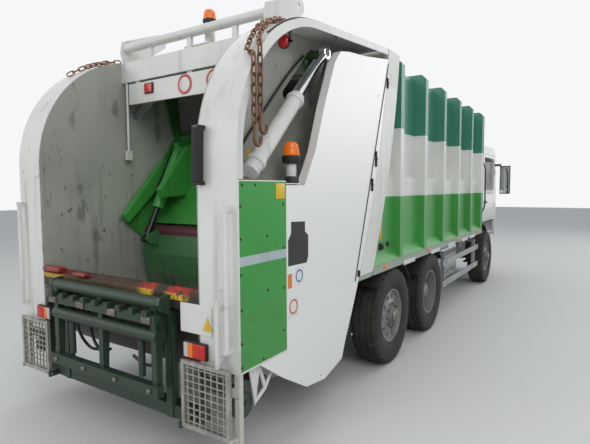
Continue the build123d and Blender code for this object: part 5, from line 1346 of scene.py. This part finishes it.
@dataclass(frozen=True)
class Lamps(Assembly):
    """Beacons, board lamp, blank round signs, recess lamps and tail lamps."""

    roof: Triple = (-3.58, -0.15, 3.3853)
    side: Triple = (-3.76, -1.12, 2.15)
    shelf_z: float = 1.945
    side_scale: float = 1.16
    board_x: float = -3.70
    sign_z: float = 2.838
    recess: Triple = (-3.913, 1.18, 2.93)
    tail: Triple = (-4.58, 0.90, 0.858)
    dome: tuple[Pair, ...] = (
        (0.0, 0.0), (0.0, 0.057), (0.010, 0.058), (0.013, 0.054), (0.030, 0.053),
        (0.033, 0.0515), (0.050, 0.0515), (0.053, 0.049), (0.066, 0.048), (0.081, 0.040),
        (0.091, 0.024), (0.0955, 0.0),
    )
    ring: tuple[Pair, ...] = (
        (-0.055, 0.036), (-0.055, 0.055), (-0.045, 0.060), (-0.010, 0.062), (0.002, 0.060),
        (0.002, 0.0585), (0.0, 0.0585), (0.0, 0.036),
    )
    cuff: tuple[Pair, ...] = (
        (-0.03, 0.046), (-0.03, 0.056), (-0.012, 0.062), (0.002, 0.060), (0.002, 0.0585),
        (0.0, 0.0585), (0.0, 0.046),
    )

    def build(self) -> None:
        """Builds every lamp of the tailgate."""
        self.build_beacons()
        self.build_board()
        self.build_recess()
        self.build_tail()

    def build_beacons(self) -> None:
        """Beacon on the portal and the larger one on the shelf, each in its black foot."""
        wide, ring = (
            [(along * grow, reach * self.side_scale) for along, reach in section]
            for section, grow in ((self.dome, self.side_scale), (self.ring, 1))
        )
        domes = [turned(self.dome, self.roof, "Z"), turned(wide, self.side, "Z")]
        self.seat("beacon_domes", Finish.AMBER_LENS, *domes, replaced=("lamps",))
        low = self.shelf_z
        pad = block((-3.94, -1.236, low), (-3.83, -1.175, low + 0.05), 0.01)
        feet = [turned(self.cuff, self.roof, "Z"), turned(ring, self.side, "Z")]
        self.seat("beacon_feet", Finish.BLACK, *feet, pad)
        x, y, z = self.side
        stem = bar((x, y, low), (x, y, z - 0.055), 0.038)
        flange = block((x - 0.055, y - 0.045, low), (x + 0.055, y + 0.045, low + 0.01))
        self.seat("beacon_stem", Finish.WHITE, stem, flange)

    def build_board(self) -> None:
        """Square red lamp and two blank discs with a red ring."""
        x = self.board_x
        housing = block((x - 0.014, 0.46, 2.81), (x, 0.58, 2.91), 0.006)
        self.seat("board_lamp_housing", Finish.BLACK, housing)
        lens = block((x - 0.022, 0.468, 2.818), (x - 0.0135, 0.572, 2.902), 0.005)
        self.seat("board_lamp_lens", Finish.RED_LENS, lens)
        for name, finish, section in (
            ("rings", Finish.SIGN_RED, (
                (0.0, 0.0), (0.0, 0.088), (-0.003, 0.088), (-0.004, 0.087), (-0.004, 0.064),
                (-0.003, 0.062), (-0.003, 0.0))),
            ("discs", Finish.SIGN_WHITE, (
                (-0.003, 0.0), (-0.003, 0.0635), (-0.0038, 0.0635), (-0.0042, 0.062),
                (-0.0042, 0.0))),
        ):
            signs = [turned(section, (x, y, self.sign_z), "X", 40) for y in (0.05, -0.30)]
            self.seat(f"board_sign_{name}", finish, *signs)

    def build_recess(self) -> None:
        """Round red lamps under the arch, each on its bracket."""
        x, y, z = self.recess
        lens, cup = (turned(section, (x, -y, z), "X", 28) for section in (
            ((-0.015, 0.0), (-0.015, 0.042), (-0.030, 0.043), (-0.040, 0.038), (-0.048, 0.024),
             (-0.051, 0.0)),
            ((0.006, 0.0), (0.004, 0.030), (-0.006, 0.044), (-0.030, 0.047), (-0.030, 0.044),
             (-0.014, 0.044), (-0.014, 0.0)),
        ))
        self.seat("recess_lenses", Finish.RED_LENS, lens, both=True)
        tab, stay = (
            block((x - 0.035, -1.24, z - 0.008), (x - 0.005, end, z + top), 0.002)
            for end, top in ((-1.196, 0.008), (-1.226, 0.110))
        )
        self.seat("recess_lamp_cups", Finish.BLACK, cup, tab, stay, both=True)

    def build_tail(self) -> None:
        """Tail lamps beside the opening, with red, amber and clear fields."""
        x, y, z = self.tail
        housing = block((x + 0.004, -y - 0.10, z - 0.055), (x + 0.03, -y + 0.10, z + 0.055), 0.006)
        self.seat("tail_lamp_housings", Finish.BLACK, housing, both=True)
        for near, far, finish in (
            (-0.095, 0.010, Finish.RED_LENS), (0.014, 0.052, Finish.AMBER_LENS),
            (0.056, 0.095, Finish.CLEAR_LENS),
        ):
            low, high = (x - 0.006, -y + near, z - 0.048), (x + 0.006, -y + far, z + 0.048)
            self.seat(
                f"tail_lens_{finish.name.lower()}", finish, block(low, high, 0.005), both=True
            )


@dataclass(frozen=True)
class Corner(Assembly):
    """Outer right side of the tailgate and what is fixed to both its sides."""

    face_y: float = -1.25
    film: float = 0.0016
    panel: tuple[float, float, float, float] = (-4.54, -4.027, 0.76, 1.96)
    cable_arch: Triple = (-3.48, 2.10, 1.078)

    def build(self) -> None:
        """Builds edges, bolts, blank stickers, guards and small pipes."""
        self.build_edges()
        self.build_bolts()
        self.build_stickers()
        self.build_roll()
        self.build_shield()
        self.build_gusset()
        self.build_cable()

    def build_edges(self) -> None:
        """White folded strip along the panel's rear, lower and upper edges, both sides."""
        x0, x1, z0, z1 = self.panel
        y = self.face_y
        upright = block((x0 - 0.009, y - 0.003, z0), (x0 + 0.006, y, z1), 0.0012)
        lower = block((x0, y - 0.003, z0 - 0.001), (x1, y, z0 + 0.012), 0.0012)
        top = block((x0, y - 0.002, z1 - 0.008), (x1, y, z1), 0.0009)
        self.seat("panel_edges", Finish.WHITE, upright, lower, top, both=True)

    def build_bolts(self) -> None:
        """Button bolts of the side panels and of the covers' edges."""
        panel = [(-4.50, 1.93), (-4.37, 1.93)]
        panel += [(-4.06, z) for z in (1.80, 1.50, 1.22, 0.92)]
        panel += [(-4.52, z) for z in (1.80, 1.60, 1.38, 1.16, 0.95, 0.80)]
        panel += [(-4.30, 0.79), (-4.25, 1.60), (-4.245, 1.24)]
        cover = ((-3.85, 0.46), (-3.55, 0.42), (-3.20, 0.45), (-2.99, 0.60), (-2.78, 1.20),
                 (-2.64, 1.70), (-2.52, 2.30), (-2.42, 2.80), (-3.94, 0.60))
        for name, finish, height, radius, tip, sides, spots in (
            ("panel", Finish.SATIN_BLACK, 0.006, 0.010, 0.007, 10, panel),
            ("cover", Finish.WHITE, 0.005, 0.011, 0.009, 6, cover),
        ):
            bolt = bar((0, 0, 0), (0, -height, 0), radius, tip, sides)
            bolts = repeat(bolt, [shift(x, self.face_y, z) for x, z in spots])
            self.seat(f"{name}_bolts", finish, bolts, both=True)

    def build_stickers(self) -> None:
        """Blank plates and stickers, without signs or words."""
        self.sticker("blank_dark", Finish.SIGN_BLACK, (
            (-4.005, 1.36), (-3.76, 1.355), (-3.735, 1.40), (-3.735, 1.56), (-3.78, 1.59),
            (-3.78, 1.665), (-3.965, 1.672), (-3.965, 1.59), (-4.005, 1.54),
        ))
        self.label("blank_orange", Finish.SIGN_ORANGE, -4.010, 1.20, -3.957, 1.302)
        self.label("blank_blue", Finish.SIGN_WHITE, -3.925, 1.205, -3.800, 1.340)
        self.ring("blank_blue_ring", Finish.SIGN_BLUE, -3.862, 1.272, 0.036, 0.048)
        self.label("blank_square", Finish.SIGN_WHITE, -4.000, 0.985, -3.880, 1.135)
        self.ring("blank_red_ring", Finish.SIGN_RED, -3.940, 1.060, 0.043, 0.054)
        yellow = block((-4.150, self.face_y - 0.004, 1.838), (-4.045, self.face_y, 1.942), 0.0015)
        self.seat("blank_yellow_plate", Finish.YELLOW, yellow)
        for name, plane, low, high, corners in (
            ("recess", "XZ", -0.9335, -0.930, ((-4.085, 2.105), (-3.965, 2.105), (-4.025, 2.215))),
            ("rear", "YZ", -4.5625, -4.558, ((-1.045, 1.00), (-0.960, 1.00), (-1.0025, 1.09))),
        ):
            self.seat(
                f"blank_triangle_{name}", Finish.YELLOW, plate(corners, plane, low, high, 0.0004)
            )

    def sticker(self, name: str, finish: Finish, outline: Sequence[Pair]) -> None:
        """Thin blank sticker on the outer face."""
        self.seat(name, finish, plate(outline, "XZ", self.face_y - self.film, self.face_y, 0.0004))

    def label(self, name: str, finish: Finish, x0: float, z0: float, x1: float, z1: float) -> None:
        """Four-cornered sticker."""
        self.sticker(name, finish, ((x0, z0), (x1, z0), (x1, z1), (x0, z1)))

    def ring(
        self, name: str, finish: Finish, x: float, z: float, inner: float, outer: float
    ) -> None:
        """Flat ring on a sticker.

        Args:
            name: Plain name of the ring.
            finish: Its finish.
            x: Station of its middle.
            z: Level of its middle.
            inner: Inner radius.
            outer: Outer radius.
        """
        section = (
            (-self.film, inner), (-self.film, outer), (-0.003, outer - 0.001),
            (-0.003, inner + 0.001),
        )
        self.seat(name, finish, turned(section, (x, self.face_y, z), "Y"))

    def build_roll(self) -> None:
        """Rubber buffer roll on the band's rear edge, in two clips."""
        roll = bar((-4.590, -0.965, 1.945), (-4.577, -0.965, 2.285), 0.036, sides=24)
        self.seat("buffer_roll", Finish.RUBBER, roll)
        clips = [
            block((-4.60, -0.995, z), (-4.538, -0.935, z + 0.022), 0.003) for z in (1.93, 2.278)
        ]
        self.seat("buffer_clips", Finish.SATIN_BLACK, *clips)

    def build_shield(self) -> None:
        """White plate and grab tube at the rear right, and the sill's worn red ends."""
        outline = ((-1.035, 0.965), (-0.755, 0.965), (-0.755, 1.16), (-1.035, 1.16))
        self.seat("rear_plate", Finish.WHITE, plate(outline, "YZ", -4.558, -4.550))
        tube = pipe([(-4.605, -1.125, z) for z in (1.22, 1.0, 0.80)], 0.017)
        feet = [block((-4.605, -1.14, z), (-4.55, -1.11, z + 0.03)) for z in (0.83, 1.16)]
        self.seat("grab_tube", Finish.WHITE, tube, *feet)
        flaps = [
            block((-4.575, 0.66, 1.222), (-4.50, 0.90, 1.262), 0.012),
            block((-4.575, 0.30, 1.216), (-4.52, 0.46, 1.246), 0.010),
        ]
        self.seat("sill_flaps", Finish.FLAP, *flaps)

    def build_gusset(self) -> None:
        """Gusset, round bracket and link rods under the panel, both sides."""
        outline = ((-4.40, 0.765), (-4.27, 0.765), (-4.335, 0.47))
        knee = (-4.21, -1.19, 0.55)
        rods = [
            bar((-4.29, -1.19, 0.76), knee, 0.014),
            bar(knee, (-4.33, -1.19, 0.49), 0.014),
            bar((-4.12, -1.19, 0.66), knee, 0.012),
        ]
        gusset = plate(outline, "XZ", -1.205, -1.193)
        self.seat("corner_links", Finish.WHITE, gusset, *rods, both=True)
        section = ((0.0, 0.0), (0.0, 0.080), (-0.012, 0.088), (-0.045, 0.088), (-0.055, 0.078),
                   (-0.055, 0.03), (-0.070, 0.028), (-0.070, 0.0))
        drum = turned(section, (-4.42, -1.13, 0.50), "Y", 28)
        arm = block((-4.50, -1.17, 0.47), (-4.40, -1.14, 0.63), 0.008)
        self.seat("corner_brackets", Finish.DARK, drum, arm, both=True)

    def build_cable(self) -> None:
        """Clipped cable over the near arch, up to the ear plate."""
        x, z, reach = self.cable_arch
        spots = [polar(math.radians(angle), reach) for angle in range(76, 134, 6)]
        cable = pipe([(x + a, -1.215, z + b) for a, b in spots], 0.007)
        self.seat("arch_cable", Finish.SATIN_BLACK, cable)


@dataclass(frozen=True)
class Recess(Assembly):
    """Pipes and clips beside the carriage cylinders."""

    cylinder: Triple = (-4.19, -1.065, 2.02)
    collar: tuple[Pair, ...] = (
        (-0.02, 0.0625), (-0.02, 0.070), (-0.016, 0.073), (0.016, 0.073), (0.02, 0.070),
        (0.02, 0.0625),
    )

    def build(self) -> None:
        """Builds the pressure pipes and the cylinder collars, both sides."""
        pipes = [
            pipe(((-4.24, -0.96, 2.02), (-4.20, -0.95, 2.14), (-4.05, -0.945, 2.30),
                  (-3.70, -0.945, 2.66), (-3.50, -0.945, 2.86), (-3.30, -0.945, 3.02)), 0.010),
            pipe(((-3.50, -1.14, 2.58), (-3.42, -1.16, 2.70), (-3.34, -1.15, 2.84),
                  (-3.22, -1.12, 2.98), (-3.06, -1.0, 3.06), (-3.0, -0.945, 3.10)), 0.011),
        ]
        self.seat("recess_pipes", Finish.SATIN_BLACK, *pipes, both=True)
        collars = []
        along = Vector((1, 0, 1)).normalized()
        lean = along.to_track_quat("X", "Z").to_matrix().to_4x4()
        for reach in (0.80, 0.10):
            piece = turned(self.collar, (0, 0, 0), "X", 28)
            middle = Vector(self.cylinder) + along * reach
            piece.data.transform(Matrix.Translation(middle) @ lean)
            collars.append(piece)
        self.seat("cylinder_collars", Finish.WHITE, *collars, both=True)


@dataclass(frozen=True)
class Lifter(Assembly):
    """Pipes, rams and worn pads of the bin lifter and the frame behind it."""

    def build(self) -> None:
        """Builds the lifter's details and those of the rear frame."""
        hoses = [
            pipe(((-4.50, y, 0.96), (-4.51, y * 0.96, 0.80), (-4.50, y * 0.8, 0.66),
                  (-4.49, y * 0.55, 0.60), (-4.49, y * 0.3, 0.66)), 0.012)
            for y in (0.56, -0.56, 0.36)
        ]
        self.seat("frame_hoses", Finish.SATIN_BLACK, *hoses)
        pads = []
        for y in (-0.56, -0.19, 0.19, 0.56):
            pads.append(block((-4.690, y - 0.045, 1.012), (-4.680, y + 0.045, 1.062), 0.003))
            pads.append(bar((-4.672, y, 0.545), (-4.688, y, 0.545), 0.020, 0.016, 12))
        self.seat("lifter_pads", Finish.BOLT, *pads, body="lifter")
        rams = []
        for y in (-0.42, 0.42):
            rams.append(bar((-4.610, y, 0.60), (-4.612, y, 0.86), 0.024))
            rams.append(bar((-4.612, y, 0.85), (-4.612, y, 0.93), 0.014))
        self.seat("lifter_rams", Finish.DARK, *rams, body="lifter")
        guides = [
            block((-4.540, y - 0.008, 0.42), (-4.498, y + 0.008, 0.98), 0.003)
            for y in (-0.585, -0.655, 0.585, 0.655)
        ]
        self.seat("frame_guides", Finish.DARK, *guides)


@dataclass(frozen=True)
class Carriage(Assembly):
    """Pins, pipes and seam of the packing mechanism."""

    home = "carriage_body"
    pivot: Triple = (-3.45, -0.868, 1.48)
    upper: Triple = (-3.17, -0.735, 2.34)

    def build(self) -> None:
        """Builds the moving pieces' details."""
        caps = []
        for spot, reach in ((self.pivot, 0.052), (self.upper, 0.040)):
            section = (
                (0.0, 0.0), (0.0, reach), (0.010, reach), (0.016, reach * 0.8), (0.016, 0.0)
            )
            caps.append(turned(section, spot, "Y", 24))
        self.seat("carriage_caps", Finish.BOLT, *caps, both=True)
        pipes = [
            pipe(((-3.23, y, 2.30), (-3.30, y, 2.18), (-3.38, y, 2.02), (-3.47, y, 1.86)), 0.010)
            for y in (-0.635, -0.765)
        ]
        self.seat("blade_cylinder_pipes", Finish.SATIN_BLACK, *pipes, both=True)
        seam = block((-3.095, -0.87, 1.985), (-3.083, 0.87, 2.0), 0.003)
        self.seat("plate_seam", Finish.ARM, seam)


@dataclass(frozen=True)
class Cab(Assembly):
    """Lamps, wipers, handles, mirror glass and grille of the cab."""

    home = "cab"
    half: float = 1.15
    slot_z: float = 1.06
    slot_step: float = 0.062

    def build(self) -> None:
        """Builds the cab's fittings."""
        lens = plate(
            ((-0.955, 0.50), (-0.565, 0.50), (-0.555, 0.51), (-0.555, 0.61), (-0.565, 0.62),
             (-0.935, 0.62), (-0.965, 0.59), (-0.965, 0.51)), "YZ", 4.664, 4.676, 0.003
        )
        self.seat("headlamp_lenses", Finish.CLEAR_LENS, lens, both=True, body="truck")
        levels = [self.slot_z + self.slot_step * n for n in range(-2, 3)]
        slots = [
            block((4.6602, -0.69, z - 0.015), (4.664, 0.69, z + 0.015), 0.0008) for z in levels
        ]
        self.seat("grille_mesh", Finish.BLACK, *slots)
        wipers = []
        for y in (-0.62, 0.18):
            arm = ((4.668, y, 1.50), (4.655, y + 0.16, 1.60), (4.635, y + 0.34, 1.74))
            rubber = ((4.660, y + 0.06, 1.575), (4.632, y + 0.34, 1.75), (4.608, y + 0.60, 1.93))
            wipers += [pipe(arm, 0.008), pipe(rubber, 0.006)]
        self.seat("wipers", Finish.SATIN_BLACK, *wipers)
        glass = plate(
            ((-1.425, 1.80), (-1.255, 1.80), (-1.247, 1.81), (-1.247, 2.37), (-1.255, 2.38),
             (-1.425, 2.38), (-1.433, 2.37), (-1.433, 1.81)), "YZ", 4.5365, 4.5405, 0.001
        )
        self.seat("mirror_glass", Finish.MIRROR, glass, both=True)
        for side, sign in SIDES:
            self.build_side(side, sign)

    def build_side(self, side: str, sign: int) -> None:
        """Door handle and grab rail of one side.

        Args:
            side: Name of the side.
            sign: Side, -1 on the right.
        """
        near = sign * self.half
        loop = pipe([(x, sign * y, 1.62) for x, y in (
            (3.36, 1.150), (3.365, 1.185), (3.44, 1.19), (3.515, 1.185), (3.52, 1.150))], 0.011)
        low, high = sorted((near, sign * 1.155))
        cup = block((3.33, low, 1.585), (3.55, high, 1.655), 0.002)
        self.seat(f"door_handle_{side}", Finish.SATIN_BLACK, loop, cup, body=f"door_{side}_leaf")
        rail = pipe([(3.14, sign * y, z) for y, z in (
            (1.150, 1.45), (1.20, 1.47), (1.20, 1.95), (1.20, 2.38), (1.150, 2.40))], 0.014)
        self.seat(f"cab_rail_{side}", Finish.SATIN_BLACK, rail)


@dataclass(frozen=True)
class Body(Assembly):
    """Marker lamps, seals and hardware of the compactor body."""

    home = "truck"
    face_y: float = -1.25
    foot: Pair = (-3.114, 0.581)
    head: Pair = (-2.174, 3.200)
    seal_z: Pair = (1.07, 3.16)

    def build(self) -> None:
        """Builds the body's small parts."""
        marker = block((-0.04, -0.006, -0.018), (0.04, 0.006, 0.018))
        stations = (-2.20, -0.70, 0.80, 2.20)
        self.row("side_markers", Finish.AMBER_LENS, marker, stations, -1.2525, 1.10)
        yellow = block((-2.155, -1.1655, 1.37), (-2.105, -1.1545, 1.59), 0.001)
        self.seat("body_marker", Finish.YELLOW, yellow)
        sockets = [
            block((-2.16, -1.19, 1.26), (-2.09, -1.1545, 1.33), 0.006),
            block((-1.96, -1.18, 1.28), (-1.91, -1.1545, 1.33), 0.006),
            bar((-2.125, -1.185, 1.295), (-2.125, -1.20, 1.295), 0.020),
        ]
        self.seat("body_sockets", Finish.SATIN_BLACK, *sockets, both=True)
        self.build_post()
        flap = plate(
            ((-1.225, 0.30), (-0.985, 0.30), (-0.975, 0.31), (-0.975, 0.70), (-1.235, 0.70),
             (-1.235, 0.31)), "YZ", -2.409, -2.401, 0.0015
        )
        rail = block((-2.412, -1.235, 0.672), (-2.392, -0.975, 0.702), 0.003)
        self.seat("mud_flaps", Finish.RUBBER, flap, rail, both=True)
        tape = block((-0.20, -0.0006, -0.026), (0.20, 0.0006, 0.026), 0.0003)
        stations = (-1.45, -0.40, 0.45, 1.30, 1.85)
        self.row("rail_tapes", Finish.SIGN_WHITE, tape, stations, -1.2486, 1.06)

    def row(
        self, name: str, finish: Finish, pattern: Piece, stations: Sequence[float],
        y: float, z: float,
    ) -> None:
        """Row of equal pieces along both sides.

        Args:
            name: Plain name of the row.
            finish: Its finish.
            pattern: One of the pieces, at the origin.
            stations: Places along the truck.
            y: Place across, on the right.
            z: Level.
        """
        self.seat(name, finish, repeat(pattern, [shift(x, y, z) for x in stations]), both=True)

    def edge(self, z: float) -> float:
        """Station of the cover's front edge at a height."""
        (x0, z0), (x1, z1) = self.foot, self.head
        return x0 + (x1 - x0) * (z - z0) / (z1 - z0)

    def build_post(self) -> None:
        """Rubber seal and latches on the rear posts, in front of the covers."""
        low, high = self.seal_z
        outline = [(self.edge(z) + off, z) for z, off in
                   ((low, 0.008), (low, 0.024), (high, 0.024), (high, 0.008))]
        seal = plate(outline, "XZ", self.face_y - 0.0045, self.face_y, 0.0015)
        self.seat("post_seals", Finish.RUBBER, seal, both=True)
        y = self.face_y - 0.012
        latches = []
        for z, height in ((2.96, 0.10), (2.19, 0.15), (1.94, 0.12), (1.13, 0.06)):
            x = self.edge(z) + 0.045
            latches.append(block((x, y, z - height / 2), (x + 0.035, self.face_y, z + height / 2)))
            latches.append(bar((x + 0.017, y, z), (x + 0.017, y - 0.008, z), 0.009, sides=6))
        self.seat("post_latches", Finish.IRON, *latches, both=True)


def dress_nodes(nodes: dict[str, Any]) -> None:
    """Gives every CAD node its finish.

    Args:
        nodes: Node names to objects.
    """
    for finish, names in NODE_FINISH.items():
        for name in names:
            for place in nodes[name].material_slots:
                place.material = finish.material
            log.info("node %s wears %s", name, finish.name)


def main() -> None:
    """Builds the studio, the finishes and the pieces."""
    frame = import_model()
    Studio().build()
    dress_nodes(frame["nodes"])
    for kind in (Wheels, Chains, Lamps, Corner, Recess, Lifter, Carriage, Cab, Body):
        log.info("building %s", kind.__name__)
        kind().build()


if __name__ == "__main__":
    logging.basicConfig(level=logging.INFO, format="%(message)s")
    main()
